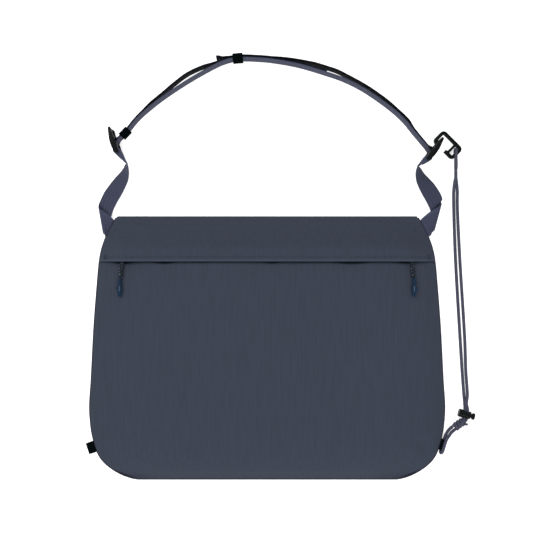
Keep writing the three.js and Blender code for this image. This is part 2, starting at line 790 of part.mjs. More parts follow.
// Buckles: two rails of one profile, joined by an anchor bar, a middle bar and a top bar
const BUCKLE_HEIGHT = WEB_WIDTH + 2 * (RAIL_THICK + WEB_SIDE_ROOM);
const WEB_LIFT = RAIL_THICK + WEB_SIDE_ROOM;
const LOOP_RADIUS = BAR_DIAMETER / 2 + CLEARANCE + WEB_THICK / 2;

const SIDES = {
  left: { sign: -1, turn: 18, pinchDistance: 12.1, pinchAcross: 4.6, strapTurn: 65 },
  right: { sign: 1, turn: 36.5, pinchDistance: 9.3, pinchAcross: 2.6, strapTurn: 77 },
};

function pinchPoint(side) {
  const { sign } = SIDES[side];
  const { point } = seamPoint(sign, WEB_SEAM_DEPTH);
  const rows = WEB_ROWS[side].rows;
  const last = rows[rows.length - 1];
  return new THREE.Vector3(point.x + sign * last.x * WEB_REACH, point.y + last.y * WEB_REACH, 0);
}

// The buckle's own frame: u along it towards the top bar, v across it towards the strap
function buckleFrame(side) {
  const { sign, turn, pinchDistance, pinchAcross } = SIDES[side];
  const angle = THREE.MathUtils.degToRad(turn);
  const u = new THREE.Vector3(sign * Math.sin(angle), Math.cos(angle), 0);
  const v = new THREE.Vector3(-sign * Math.cos(angle), Math.sin(angle), 0);
  const origin = pinchPoint(side).addScaledVector(u, pinchDistance).addScaledVector(v, -pinchAcross);
  const place = (along, across) => origin.clone().addScaledVector(u, along).addScaledVector(v, across);
  return { u, v, origin, place };
}

function addBuckle(side) {
  const { u, v, origin } = buckleFrame(side);
  const outline = new THREE.Shape(BUCKLE_PROFILE.map((row) => (
    new THREE.Vector2(row.along * BUCKLE_LENGTH, row.across * BUCKLE_LENGTH)
  )));
  const railOptions = { depth: RAIL_THICK, bevelEnabled: false, steps: 1 };
  const rail = () => new THREE.ExtrudeGeometry(outline, railOptions);
  const upperRail = rail().translate(0, 0, BUCKLE_HEIGHT - RAIL_THICK);
  const inner = BUCKLE_HEIGHT - RAIL_THICK;
  const bar = (place, diameter, offset) => (
    uprightCylinder(diameter, inner, place, offset, BAR_SIDES).translate(0, 0, RAIL_THICK / 2)
  );
  const geometry = fromSolid(joined([
    rail(),
    upperRail,
    bar(ANCHOR_BAR_PLACE, BAR_DIAMETER, BAR_OFFSET),
    bar(MIDDLE_BAR_PLACE, BAR_DIAMETER, BAR_OFFSET),
    bar(TOP_BAR_PLACE, TOP_BAR_DIAMETER, 0),
  ]));
  const upright = new THREE.Vector3(0, 0, 1);
  if (u.clone().cross(v).z < 0) {
    geometry.scale(1, -1, 1);
    const flipped = geometry.index.array;
    for (let k = 0; k < flipped.length; k += 3) {
      [flipped[k], flipped[k + 1]] = [flipped[k + 1], flipped[k]];
    }
    geometry.applyMatrix4(new THREE.Matrix4().makeBasis(u, v.clone().negate(), upright));
  } else {
    geometry.applyMatrix4(new THREE.Matrix4().makeBasis(u, v, upright));
  }
  geometry.translate(origin.x, origin.y, 0);
  addPart(`buckle_${side}`, geometry, BLACK_PLASTIC);
}
addBuckle('left');
addBuckle('right');

// Side webbings: from the seam, rolled over, twisted on edge and looped round the anchor bar
function ruling(turn, tilt, sign) {
  const plan = THREE.MathUtils.degToRad(turn);
  const lean = THREE.MathUtils.degToRad(tilt);
  const flat = Math.cos(lean);
  return new THREE.Vector3(sign * Math.cos(plan) * flat, Math.sin(plan) * flat, Math.sin(lean));
}

function webControls(side) {
  const { sign } = SIDES[side];
  const { seamTurn, rollTurn, roll, rows } = WEB_ROWS[side];
  const { point, outward } = seamPoint(sign, WEB_SEAM_DEPTH);
  const from = (x, y, z) => new THREE.Vector3(
    point.x + sign * x * WEB_REACH,
    point.y + y * WEB_REACH,
    z,
  );
  const controls = [];
  const start = point.clone().addScaledVector(outward, SEAM_GAP);
  controls.push({ middle: start, across: ruling(seamTurn, 0, sign), width: WEB_WIDTH });
  const axis = ruling(rollTurn, 0, sign);
  const sideways = new THREE.Vector3(axis.y * sign, -axis.x * sign, 0);
  const rollMiddle = WEB_THICK / 2 + CLEARANCE + WEB_ROLL_RADIUS;
  const arc = Math.PI * WEB_ROLL_RADIUS;
  const advance = roll.advance * WEB_REACH;
  const rollWidth = (WEB_WIDTH * Math.hypot(arc, advance)) / arc;
  for (let k = 0; k <= WEB_ROLL_TURNS; k += 1) {
    const angle = (Math.PI * k) / WEB_ROLL_TURNS;
    const middle = from(roll.x, roll.y, rollMiddle + WEB_ROLL_RADIUS * Math.cos(angle));
    middle.addScaledVector(axis, (advance * k) / WEB_ROLL_TURNS);
    middle.addScaledVector(sideways, WEB_ROLL_RADIUS * Math.sin(angle));
    controls.push({ middle, across: axis.clone(), width: rollWidth });
  }
  rows.forEach((row) => {
    const lean = Math.abs(THREE.MathUtils.degToRad(row.tilt));
    const height = (WEB_WIDTH / 2) * Math.sin(lean) + (WEB_THICK / 2) * Math.cos(lean) + CLEARANCE;
    const middle = from(row.x, row.y, height);
    controls.push({ middle, across: ruling(row.turn, row.tilt, sign), width: WEB_WIDTH });
  });
  return controls;
}

function webStations(side) {
  const controls = webControls(side);
  const curve = new THREE.CatmullRomCurve3(controls.map((c) => c.middle), false, 'centripetal');
  const flat = [];
  for (let k = 0; k < controls.length - 1; k += 1) {
    const span = controls[k].middle.distanceTo(controls[k + 1].middle);
    const steps = Math.max(1, Math.round(span / WEB_STEP));
    for (let s = 0; s < steps; s += 1) {
      const middle = curve.getPoint((k + s / steps) / (controls.length - 1));
      const across = controls[k].across.clone().lerp(controls[k + 1].across, s / steps).normalize();
      const width = THREE.MathUtils.lerp(controls[k].width, controls[k + 1].width, s / steps);
      flat.push({ middle, across, width });
    }
  }
  flat.push(controls[controls.length - 1]);
  return flat;
}

function loopPoints(frame, barPlace, fromTurn, toTurn, steps) {
  const points = [];
  for (let k = 0; k <= steps; k += 1) {
    const turn = THREE.MathUtils.degToRad(fromTurn + ((toTurn - fromTurn) * k) / steps);
    points.push(frame.place(
      barPlace + LOOP_RADIUS * Math.cos(turn),
      BAR_OFFSET + LOOP_RADIUS * Math.sin(turn),
    ));
  }
  return points;
}

function addSideWeb(side) {
  const flat = webStations(side);
  const upright = new THREE.Vector3(0, 0, -1);
  const rise = WEB_WIDTH / 2 + WEB_LIFT;
  const frame = buckleFrame(side);
  const pinch = flat[flat.length - 1].middle;
  const { pinchDistance, pinchAcross } = SIDES[side];
  const toPinch = new THREE.Vector2(-pinchDistance - ANCHOR_BAR_PLACE, pinchAcross - BAR_OFFSET);
  const heading = THREE.MathUtils.radToDeg(Math.atan2(toPinch.y, toPinch.x));
  const spread = THREE.MathUtils.radToDeg(Math.acos(LOOP_RADIUS / toPinch.length()));
  const loop = loopPoints(frame, ANCHOR_BAR_PLACE, heading + spread, heading + 360 - spread, LOOP_STEPS);
  loop.reverse();
  const last = loop[loop.length - 1];
  const backDirection = pinch.clone().setZ(0).sub(last).normalize();
  const legLength = pinch.clone().setZ(0).distanceTo(last) - LOOP_LEG_END;
  const back = last.clone().addScaledVector(backDirection, legLength);
  const middleBack = last.clone().addScaledVector(backDirection, legLength / 2);
  const first = loop[0];
  pinch.z = rise - WEB_PINCH_DROP;
  const onWay = pinch.clone().setZ(0).lerp(first, 0.5);
  const tail = [onWay, ...loop, middleBack, back].map((point) => {
    const middle = point.clone().setZ(rise);
    return { middle, across: upright, width: WEB_WIDTH };
  });
  const rough = [...flat, ...tail];
  const middles = rough.map((station) => station.middle);
  const stations = rough.map(({ middle, across, width }, index) => {
    const tangent = tangentAt(middles, index);
    const normal = tangent.clone().cross(across).normalize();
    const lowest = (Math.abs(across.z) * width + Math.abs(normal.z) * WEB_THICK) / 2 + FLOOR_GAP;
    const raised = middle.clone().setZ(Math.max(middle.z, lowest));
    return { middle: raised, across: across.clone().multiplyScalar(width), normal };
  });
  const geometry = ribbonSolid(stations, WEB_THICK);
  addPart(`side_web_${side}`, geometry, WEBBING);
}
addSideWeb('left');
addSideWeb('right');

// Shoulder strap: one webbing from the left tail's end to the right tail's end
const LAYER = WEB_THICK + CLEARANCE;

function strapMiddleLine() {
  const left = buckleFrame('left').place(MIDDLE_BAR_PLACE, BAR_OFFSET);
  const right = buckleFrame('right').place(MIDDLE_BAR_PLACE, BAR_OFFSET);
  const controls = STRAP_ROWS.map((row) => {
    const point = left.clone().lerp(right, row.along);
    point.y += row.rise * STRAP_RISE;
    return point;
  });
  return { left, right, line: smoothLine(controls, STRAP_STEP) };
}

function alongShares(line) {
  const lengths = [0];
  for (let k = 1; k < line.length; k += 1) {
    lengths.push(lengths[k - 1] + line[k].distanceTo(line[k - 1]));
  }
  const total = lengths[lengths.length - 1];
  return { shares: lengths.map((length) => length / total), total };
}

function offsetLine(line, shares, layers, rows) {
  return line.map((point, index) => {
    const tangent = tangentAt(line, index);
    const outward = new THREE.Vector3(-tangent.y, tangent.x, 0);
    const apart = tableValue(rows, 'along', shares[index], 'apart') * TAIL_SLACK;
    return point.clone().addScaledVector(outward, layers * LAYER + apart);
  });
}

function strapPlan() {
  const { left, right, line } = strapMiddleLine();
  const { shares } = alongShares(line);
  const tailLeft = offsetLine(line, shares, 1, TAIL_LEFT_ROWS)
    .filter((_, index) => shares[index] <= TAIL_LEFT_END)
    .reverse();
  const tailRight = offsetLine(line, shares, 1, TAIL_RIGHT_ROWS)
    .filter((_, index) => shares[index] >= TAIL_RIGHT_END)
    .reverse();
  const loopLeft = loopPoints(
    buckleFrame('left'),
    MIDDLE_BAR_PLACE,
    SIDES.left.strapTurn - 90,
    SIDES.left.strapTurn - 270,
    LOOP_STEPS,
  );
  const loopRight = loopPoints(
    buckleFrame('right'),
    MIDDLE_BAR_PLACE,
    SIDES.right.strapTurn + 90,
    SIDES.right.strapTurn + 270,
    LOOP_STEPS,
  );
  const plan = [...tailLeft, ...loopLeft, ...line, ...loopRight, ...tailRight];
  return { plan, line, shares, left, right };
}

const STRAP_PLAN = strapPlan();

const KEEPER_LIFT = KEEPER_THICK + 2 * CLEARANCE;

function strapLift(point) {
  const near = Math.min(point.distanceTo(STRAP_PLAN.left), point.distanceTo(STRAP_PLAN.right));
  const fade = smoothStep(near, STRAP_LIFT_FADE.near, STRAP_LIFT_FADE.far);
  return WEB_LIFT + (KEEPER_LIFT - WEB_LIFT) * fade;
}

function addShoulderStrap() {
  const { plan } = STRAP_PLAN;
  const upright = new THREE.Vector3(0, 0, WEB_WIDTH);
  const stations = plan.map((point, index) => {
    const tangent = tangentAt(plan, index);
    const middle = point.clone().setZ(WEB_WIDTH / 2 + strapLift(point));
    return { middle, across: upright, normal: new THREE.Vector3(tangent.y, -tangent.x, 0) };
  });
  addPart('shoulder_strap', ribbonSolid(stations, WEB_THICK), WEBBING);
}
addShoulderStrap();

// Elastic keepers round the strap's layers
function addKeeper(name, middle, turn, lift, layers) {
  const inside = { x: layers * LAYER + 2 * CLEARANCE, y: WEB_WIDTH + 2 * CLEARANCE };
  const outside = { x: inside.x + 2 * KEEPER_THICK, y: inside.y + 2 * KEEPER_THICK };
  const frame = new THREE.Shape();
  frame.moveTo(-outside.x / 2, -outside.y / 2);
  frame.lineTo(outside.x / 2, -outside.y / 2);
  frame.lineTo(outside.x / 2, outside.y / 2);
  frame.lineTo(-outside.x / 2, outside.y / 2);
  frame.closePath();
  const hole = new THREE.Path();
  hole.moveTo(-inside.x / 2, -inside.y / 2);
  hole.lineTo(-inside.x / 2, inside.y / 2);
  hole.lineTo(inside.x / 2, inside.y / 2);
  hole.lineTo(inside.x / 2, -inside.y / 2);
  hole.closePath();
  frame.holes.push(hole);
  const keeper = new THREE.ExtrudeGeometry(frame, { depth: KEEPER_LENGTH, bevelEnabled: false, steps: 1 });
  keeper.translate(0, 0, -KEEPER_LENGTH / 2);
  keeper.rotateX(Math.PI / 2);
  keeper.rotateZ(turn - Math.PI / 2);
  keeper.translate(middle.x, middle.y, WEB_WIDTH / 2 + lift);
  addPart(name, keeper, ELASTIC);
}

function strapPoint(share) {
  const { line, shares } = STRAP_PLAN;
  const index = shares.findIndex((value) => value >= share);
  const part = (share - shares[index - 1]) / (shares[index] - shares[index - 1]);
  return line[index - 1].clone().lerp(line[index], part);
}

function keeperPlace(share, total, layers) {
  const reach = KEEPER_LENGTH / 2 / total;
  const before = strapPoint(share - reach);
  const after = strapPoint(share + reach);
  const tangent = after.clone().sub(before).normalize();
  const outward = new THREE.Vector3(-tangent.y, tangent.x, 0);
  const middle = before.lerp(after, 0.5).lerp(strapPoint(share), 0.5);
  middle.addScaledVector(outward, ((layers - 1) * LAYER) / 2);
  return { middle, turn: Math.atan2(tangent.y, tangent.x) };
}

function addKeepers() {
  const { total } = alongShares(STRAP_PLAN.line);
  const near = keeperPlace(KEEPER_PLACE / total, total, 2);
  addKeeper('keeper_left', near.middle, near.turn, strapLift(near.middle), 2);
  const top = keeperPlace(MIDDLE_KEEPER_PLACE, total, 3);
  addKeeper('keeper_middle', top.middle, top.turn, KEEPER_LIFT, 3);
}
addKeepers();

// Hook: a flat ring with a crossbar and an open mouth, clipped round the right buckle's top bar
const HOOK_BASE = CORD_DIAMETER + 3 * CLEARANCE;

function roundedRect(length, width, radius, centreX) {
  const outline = new THREE.Shape();
  const x = length / 2;
  const y = width / 2;
  outline.moveTo(centreX - x + radius, -y);
  outline.lineTo(centreX + x - radius, -y);
  outline.absarc(centreX + x - radius, -y + radius, radius, -Math.PI / 2, 0, false);
  outline.lineTo(centreX + x, y - radius);
  outline.absarc(centreX + x - radius, y - radius, radius, 0, Math.PI / 2, false);
  outline.lineTo(centreX - x + radius, y);
  outline.absarc(centreX - x + radius, y - radius, radius, Math.PI / 2, Math.PI, false);
  outline.lineTo(centreX - x, -y + radius);
  outline.absarc(centreX - x + radius, -y + radius, radius, Math.PI, Math.PI * 1.5, false);
  return outline;
}

function addHook() {
  const innerWidth = HOOK_WIDTH - HOOK_STROKE;
  const barX = HOOK_LENGTH / 2 - HOOK_CROSSBAR_PLACE;
  const windowStart = -HOOK_LENGTH / 2 + HOOK_STROKE / 2;
  const windowEnd = barX - HOOK_CROSSBAR / 2;
  const slotStart = barX + HOOK_CROSSBAR / 2;
  const slotEnd = HOOK_LENGTH / 2 - HOOK_STROKE / 2;
  const outline = roundedRect(HOOK_LENGTH + HOOK_STROKE, HOOK_WIDTH + HOOK_STROKE, HOOK_CORNER, 0);
  [[windowStart, windowEnd], [slotStart, slotEnd]].forEach(([from, to]) => {
    outline.holes.push(roundedRect(to - from, innerWidth, HOOK_INNER_CORNER, (from + to) / 2));
  });
  const ring = new THREE.ExtrudeGeometry(outline, {
    depth: HOOK_THICK,
    bevelEnabled: false,
    curveSegments: 5,
    steps: 1,
  });
  const mouth = new THREE.BoxGeometry(HOOK_MOUTH.length, HOOK_STROKE * 2, HOOK_THICK * 2);
  const mouthX = -HOOK_LENGTH / 2 + HOOK_MOUTH.start + HOOK_MOUTH.length / 2;
  mouth.translate(mouthX, -HOOK_WIDTH / 2, HOOK_THICK / 2);
  const geometry = fromSolid(toSolid(ring).subtract(toSolid(mouth)));
  const { place } = buckleFrame('right');
  const topBar = place(TOP_BAR_PLACE, 0);
  const turn = THREE.MathUtils.degToRad(HOOK_TURN);
  const barRoom = TOP_BAR_DIAMETER / 2 + CLEARANCE;
  const barPlace = new THREE.Vector3(
    windowStart + barRoom,
    -HOOK_WIDTH / 2 + HOOK_STROKE / 2 + barRoom,
    0,
  );
  const centre = topBar.sub(barPlace.applyAxisAngle(new THREE.Vector3(0, 0, 1), turn));
  geometry.rotateZ(turn);
  geometry.translate(centre.x, centre.y, HOOK_BASE);
  addPart('g_hook', geometry, BLACK_PLASTIC);
}
addHook();

// Cords
addPart('cord_upper', cordTube(CORD_UPPER_ROUTE, CORD_DIAMETER), CORD_BRAID);
addPart('cord_lower', cordTube(CORD_LOWER_ROUTE, CORD_DIAMETER), CORD_BRAID);

// Cord lock: a barrel with a sprung button, its hole and the button's slot clear of the cord
const LOCK_MIDDLE = new THREE.Vector3(217.6, -73.4, LOCK_DIAMETER / 2 + FLOOR_GAP);
const LOCK_HOLE = { length: 2 * CORD_DIAMETER + 4 * CLEARANCE, height: CORD_DIAMETER + 3 * CLEARANCE };

function lockFrame(geometry) {
  geometry.rotateZ(THREE.MathUtils.degToRad(LOCK_TURN));
  geometry.translate(LOCK_MIDDLE.x, LOCK_MIDDLE.y, LOCK_MIDDLE.z);
  return geometry;
}

// A cylinder along X from one place to another
function lyingCylinder(diameter, from, to, sides) {
  const cylinder = new THREE.CylinderGeometry(diameter / 2, diameter / 2, to - from, sides);
  cylinder.rotateZ(Math.PI / 2);
  cylinder.translate((from + to) / 2, 0, 0);
  return cylinder;
}

function addCordLock() {
  const start = -LOCK_HOLE_PLACE;
  const end = start + LOCK_LENGTH;
  const bore = PLUNGER_DIAMETER + 2 * CLEARANCE;
  const hole = new THREE.BoxGeometry(LOCK_HOLE.length, LOCK_DIAMETER * 2, LOCK_HOLE.height);
  const barrel = toSolid(lyingCylinder(LOCK_DIAMETER, start, end, TURNED_SIDES))
    .subtract(toSolid(lyingCylinder(bore, start + LOCK_WALL, end + LOCK_WALL, BORE_SIDES)))
    .subtract(toSolid(hole));
  addPart('cord_lock_barrel', lockFrame(fromSolid(barrel)), BLACK_PLASTIC);

  const capStart = end + BUTTON_TRAVEL + CLEARANCE;
  const plungerStart = start + LOCK_WALL + BUTTON_TRAVEL + CLEARANCE;
  const slotEnd = LOCK_HOLE.length / 2 + BUTTON_TRAVEL;
  const slot = new THREE.BoxGeometry(slotEnd - start, LOCK_DIAMETER * 2, LOCK_HOLE.height);
  slot.translate((slotEnd + start) / 2, 0, 0);
  const capEnd = capStart + BUTTON_HEIGHT;
  const button = toSolid(lyingCylinder(PLUNGER_DIAMETER, plungerStart, capEnd, BORE_SIDES))
    .subtract(toSolid(slot))
    .add(toSolid(lyingCylinder(BUTTON_DIAMETER, capStart, capEnd + FLOOR_GAP, TURNED_SIDES)));
  addPart('cord_lock_button', lockFrame(fromSolid(button)), BLACK_PLASTIC);
}
addCordLock();

// Knot: three fat turns of the cord with its trimmed end
const KNOT_MIDDLE = new THREE.Vector3(210.9, -83.5, KNOT_DIAMETER / 2 + FLOOR_GAP);
const KNOT_ROWS = [
  { along: 0.06, radius: 0.72 },
  { along: 0.2, radius: 0.95 },
  { along: 0.36, radius: 0.8 },
  { along: 0.52, radius: 1 },
  { along: 0.67, radius: 0.82 },
  { along: 0.82, radius: 0.94 },
  { along: 0.94, radius: 0.7 },
];

function addKnot() {
  const profile = [new THREE.Vector2(0, 0)];
  KNOT_ROWS.forEach((row) => {
    profile.push(new THREE.Vector2((row.radius * KNOT_DIAMETER) / 2, row.along * KNOT_LENGTH));
  });
  profile.push(new THREE.Vector2(0, KNOT_LENGTH));
  const turns = new THREE.LatheGeometry(profile, KNOT_SIDES);
  turns.rotateZ(-Math.PI / 2);
  turns.translate(-KNOT_LENGTH / 2, 0, 0);
  const end = lyingCylinder(KNOT_END.diameter, 0, KNOT_END.length, CORD_SIDES);
  end.rotateZ(THREE.MathUtils.degToRad(KNOT_END.turn));
  const geometry = fromSolid(joined([turns, end]));
  geometry.rotateZ(THREE.MathUtils.degToRad(KNOT_TURN));
  geometry.translate(KNOT_MIDDLE.x, KNOT_MIDDLE.y, KNOT_MIDDLE.z);
  addPart('cord_knot', geometry, CORD_BRAID);
}
addKnot();

export default bag;
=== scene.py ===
"""Cycling musette bag: cloth, webbing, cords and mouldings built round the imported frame.

Every group of pieces is an operator of this add-on. Lengths in the tables are millimetres, as in
the part's own source, unless a comment says otherwise. They become metres when a mesh is made.
"""

import math

import bpy
from mathutils import Matrix, Vector, noise


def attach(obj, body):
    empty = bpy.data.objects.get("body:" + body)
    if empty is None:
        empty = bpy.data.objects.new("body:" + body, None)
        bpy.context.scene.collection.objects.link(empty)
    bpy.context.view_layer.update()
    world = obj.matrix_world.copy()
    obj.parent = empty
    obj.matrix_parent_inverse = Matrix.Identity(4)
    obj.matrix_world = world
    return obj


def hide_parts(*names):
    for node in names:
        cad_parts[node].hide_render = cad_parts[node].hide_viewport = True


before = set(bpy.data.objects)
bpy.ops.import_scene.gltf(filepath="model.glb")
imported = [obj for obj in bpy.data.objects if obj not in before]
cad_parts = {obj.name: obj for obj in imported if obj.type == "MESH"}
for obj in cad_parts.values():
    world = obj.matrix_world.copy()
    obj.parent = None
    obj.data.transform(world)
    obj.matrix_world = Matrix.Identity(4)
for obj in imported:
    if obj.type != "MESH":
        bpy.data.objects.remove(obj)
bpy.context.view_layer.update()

bl_info = {
    "name": "Cycling musette bag",
    "version": (1, 0, 0),
    "blender": (4, 5, 0),
    "location": "3D View > Sidebar > Musette",
    "description": "Builds a cycling musette bag with its strap, buckles and stabiliser cord",
    "category": "Object",
}

MM = 0.001
BODY = "bag"
BUTTON_BODY = "lock_button"

# The photograph's view: straight down on this point, from this distance
VIEW_MIDDLE = (-0.7, 88.55)
VIEW_DISTANCE = 1000.0
SENSOR = 36.0

# Sizes of the bag, as in the part's source
BAG_WIDTH = 387.5
BAG_HEIGHT = 287.0
BAG_LOFT = 15.0
SEAM_HEIGHT = 5.0
CLOTH = 1.2
CLEARANCE = 0.3
FLOOR_GAP = 0.2
SEAM_GAP = 0.5
SIDE_ROUNDING = 70.0
TOP_ROUNDING = 42.0
BOTTOM_ROUNDING = 48.0
BACK_ROUNDING = 26.0
LOFT_FULLNESS = 2.2
FOLD_FADE = 3.0
FLAP_DEPTH = 49.5
FLAP_OVERLAP = 10.5
FLAP_BULGE = 4.0
FLAP_LIFT_START = 0.33
FLAP_LIFT_END = 0.9
FRONT_DEPTH = FLAP_DEPTH - FLAP_OVERLAP
ZIP_ROOM = 0.6
ZIP_TEETH_WIDTH = 4.0
ZIP_DEPTH = FRONT_DEPTH - ZIP_ROOM - ZIP_TEETH_WIDTH / 2
PULL_INSET = 27.0
PULL_LIFT_WIDTH = 13.0
PULL_CORD_DIAMETER = 3.4
PULL_END_LENGTH = 20.0
PULL_END_DIAMETER = 6.4

# Sizes of the webbing and the buckles
WEB_WIDTH = 20.0
WEB_THICK = 1.0
WEB_SEAM_DEPTH = 13.5
WEB_REACH = 72.0
WEB_ROLL_RADIUS = 3.0
WEB_ROLL_TURNS = 5
WEB_PINCH_DROP = 1.2
STRAP_RISE = 100.0
STRAP_LIFT_FADE = (30.0, 100.0)
TAIL_SLACK = 5.6
TAIL_LEFT_END = 0.652
TAIL_RIGHT_END = 0.345
RAIL_THICK = 3.0
BAR_DIAMETER = 4.1
ANCHOR_BAR_PLACE = 4.0
MIDDLE_BAR_PLACE = 12.6
BAR_OFFSET = -0.7
WEB_LIFT = RAIL_THICK + 0.5
KEEPER_THICK = 1.0
KEEPER_LIFT = KEEPER_THICK + 2 * CLEARANCE
LOOP_RADIUS = BAR_DIAMETER / 2 + CLEARANCE + WEB_THICK / 2
LOOP_LEG_END = 7.0
LAYER = WEB_THICK + CLEARANCE

# Sizes of the knot, with its two headings in degrees, of the pulls' twist and the strap's hems
KNOT_MIDDLE = (210.9, -83.5, 4.8)
KNOT_LENGTH = 15.5
KNOT_DIAMETER = 9.2
KNOT_TURN = 211.0
KNOT_END_LENGTH = 8.7
KNOT_TURNS = 3.6
KNOT_STRANDS = [
    [(203.4, -86.0, 4.2), (205.6, -84.6, 4.7), (208.6, -84.2, 4.9)],
    [(204.9, -90.8, 4.0), (207.2, -88.6, 4.5), (209.2, -86.2, 4.9)],
    [(215.1, -75.4, 4.5), (214.3, -78.2, 4.8), (212.6, -81.2, 4.9)],
    [(218.7, -76.6, 4.5), (217.8, -79.4, 4.8), (215.2, -82.0, 4.9)],
]
KNOT_END_DIAMETER = 2.7
KNOT_END_TURN = 142.0
PULL_TWIST = 9.0
HEM_LENGTH = 6.0

OUTLINE = [
    (0, 0.4218), (0.016, 0.4294), (0.079, 0.454), (0.137, 0.468), (0.172, 0.4725),
    (0.26, 0.4785), (0.43, 0.488), (0.626, 0.4955), (0.73, 0.5), (0.8, 0.4965),
    (0.855, 0.4885), (0.895, 0.4792), (0.918, 0.4708), (0.945, 0.453), (0.979, 0.4153),
    (0.9965, 0.38), (1, 0.365),
]

# Folds of the front: x, y, turn, length, width, rise
FOLDS = [
    (0.446, -0.378, 135, 0.05, 0.02, -0.16),
    (-0.446, -0.382, 45, 0.045, 0.02, -0.12),
    (-0.42, 0.29, 78, 0.07, 0.018, 0.07),
    (-0.29, 0.285, 96, 0.09, 0.022, 0.06),
    (0.01, 0.295, 88, 0.06, 0.02, 0.06),
    (0.21, 0.285, 80, 0.09, 0.026, 0.07),
    (0.385, 0.29, 100, 0.07, 0.02, 0.06),
    (-0.17, -0.1, 64, 0.28, 0.05, -0.05),
    (0.2, -0.16, 118, 0.26, 0.05, -0.06),
    (0.02, -0.36, 4, 0.3, 0.03, -0.05),
]

# Side webbings: x, y, turn, tilt of each row, after the seam and the roll
WEB_ROWS = {
    "right": {
        "seam_turn": 117, "roll_turn": 75, "roll": (0.161, 0.129, 0.139),
        "rows": [
            (0.2, 0.353, 45, -12), (0.159, 0.456, 42, -13), (0.076, 0.59, 38, -19),
            (-0.001, 0.695, 36, -32), (-0.062, 0.783, 36, -46), (-0.098, 0.868, 40, -58),
            (-0.109, 0.934, 40, -74),
        ],
    },
    "left": {
        "seam_turn": 117, "roll_turn": 80, "roll": (0.097, 0.085, 0.135),
        "rows": [
            (0.09, 0.268, 41, -12), (0.058, 0.358, 43, -15), (0.001, 0.474, 38, -18),
            (-0.07, 0.583, 35, -22), (-0.151, 0.704, 33, -33), (-0.212, 0.794, 36, -45),
            (-0.251, 0.88, 38, -59), (-0.263, 0.978, 30, -76),
        ],
    },
}

SIDES = {
    "left": {"sign": -1, "turn": 18, "pinch_distance": 12.1, "pinch_across": 4.6, "strap_turn": 65},
    "right": {"sign": 1, "turn": 36.5, "pinch_distance": 9.3, "pinch_across": 2.6, "strap_turn": 77},
}

# Shoulder strap: along, rise
STRAP_ROWS = [
    (0.0142, 0.0384), (0.036, 0.112), (0.073, 0.268), (0.126, 0.436), (0.189, 0.6),
    (0.251, 0.74), (0.309, 0.856), (0.338, 0.906), (0.368, 0.94), (0.406, 0.955),
    (0.445, 0.954), (0.489, 0.946), (0.575, 0.903), (0.66, 0.826), (0.724, 0.755),
    (0.782, 0.659), (0.839, 0.532), (0.882, 0.419), (0.913, 0.318), (0.941, 0.201),
    (0.979, 0.051),
]

# Strap tails: share of the strap, distance off it
TAIL_LEFT_ROWS = [
    (0, 0), (0.06, 0.03), (0.1, 0.11), (0.13, 0.3), (0.17, 0.42), (0.21, 0.72), (0.26, 1),
    (0.305, 0.72), (0.335, 0.28), (0.365, 0), (1, 0),
]
TAIL_RIGHT_ROWS = [
    (0.33, 1.38), (0.345, 1.2), (0.365, 0.52), (0.388, 0.24), (0.45, 0.235), (0.49, 0.25),
    (0.53, 0.45), (0.58, 0.66), (0.627, 0.88), (0.67, 0.88), (0.71, 0.62), (0.745, 0.53),
    (0.83, 0.46), (0.88, 0.3), (0.91, 0.32), (0.94, 0.08), (1, 0),
]

# Cord routes, points in millimetres, as in the part's source
CORD_UPPER_ROUTE = [
    (215.0, -75.8, 4.5), (215.7, -73.0, 4.5), (216.6, -68.4, 4.4), (216.8, -61.5, 2.2),
    (216.1, -54.0, 1.9), (214.1, -27.0, 1.9), (211.9, 7.9, 1.9),
    (206.6, 100.1, 1.9), (204.8, 156.5, 1.9), (204.8, 171.0, 2.0), (205.3, 179.0, 3.6),
    (206.4, 188.0, 5.8), (206.0, 197.0, 6.8), (205.7, 203.5, 8.6), (205.7, 208.0, 9.9),
    (205.8, 213.2, 9.9), (205.9, 215.7, 9.1), (205.9, 216.5, 7.4), (206.0, 216.5, 4.6),
    (206.1, 215.7, 2.9), (206.3, 213.2, 2.0), (207.4, 207.5, 1.9), (207.6, 199.0, 1.9),
    (207.0, 190.0, 1.9), (207.8, 182.5, 1.9), (208.8, 172.0, 1.9), (208.8, 156.5, 1.9),
    (211.4, 100.1, 1.9), (217.0, 7.9, 1.9), (218.2, -27.0, 1.9),
    (219.5, -45.0, 2.0), (219.4, -53.5, 3.8), (218.0, -61.0, 6.0), (219.4, -68.4, 4.9),
    (219.4, -73.9, 4.5), (218.6, -77.0, 4.5),
]
CORD_LOWER_ROUTE = [
    (202.8, -86.8, 4.1), (199.8, -90.0, 2.8), (196.8, -94.6, 2.4), (194.8, -98.6, 3.1),
    (193.7, -101.0, 3.3), (190.1, -112.4, 3.3), (189.7, -114.6, 4.0), (190.0, -115.5, 5.7),
    (190.7, -114.9, 7.5), (191.5, -113.2, 8.2), (193.3, -107.5, 8.3), (195.3, -101.5, 8.0),
    (197.2, -98.8, 6.5), (199.7, -96.2, 4.6), (202.3, -93.0, 3.6), (205.2, -90.6, 4.1),
]

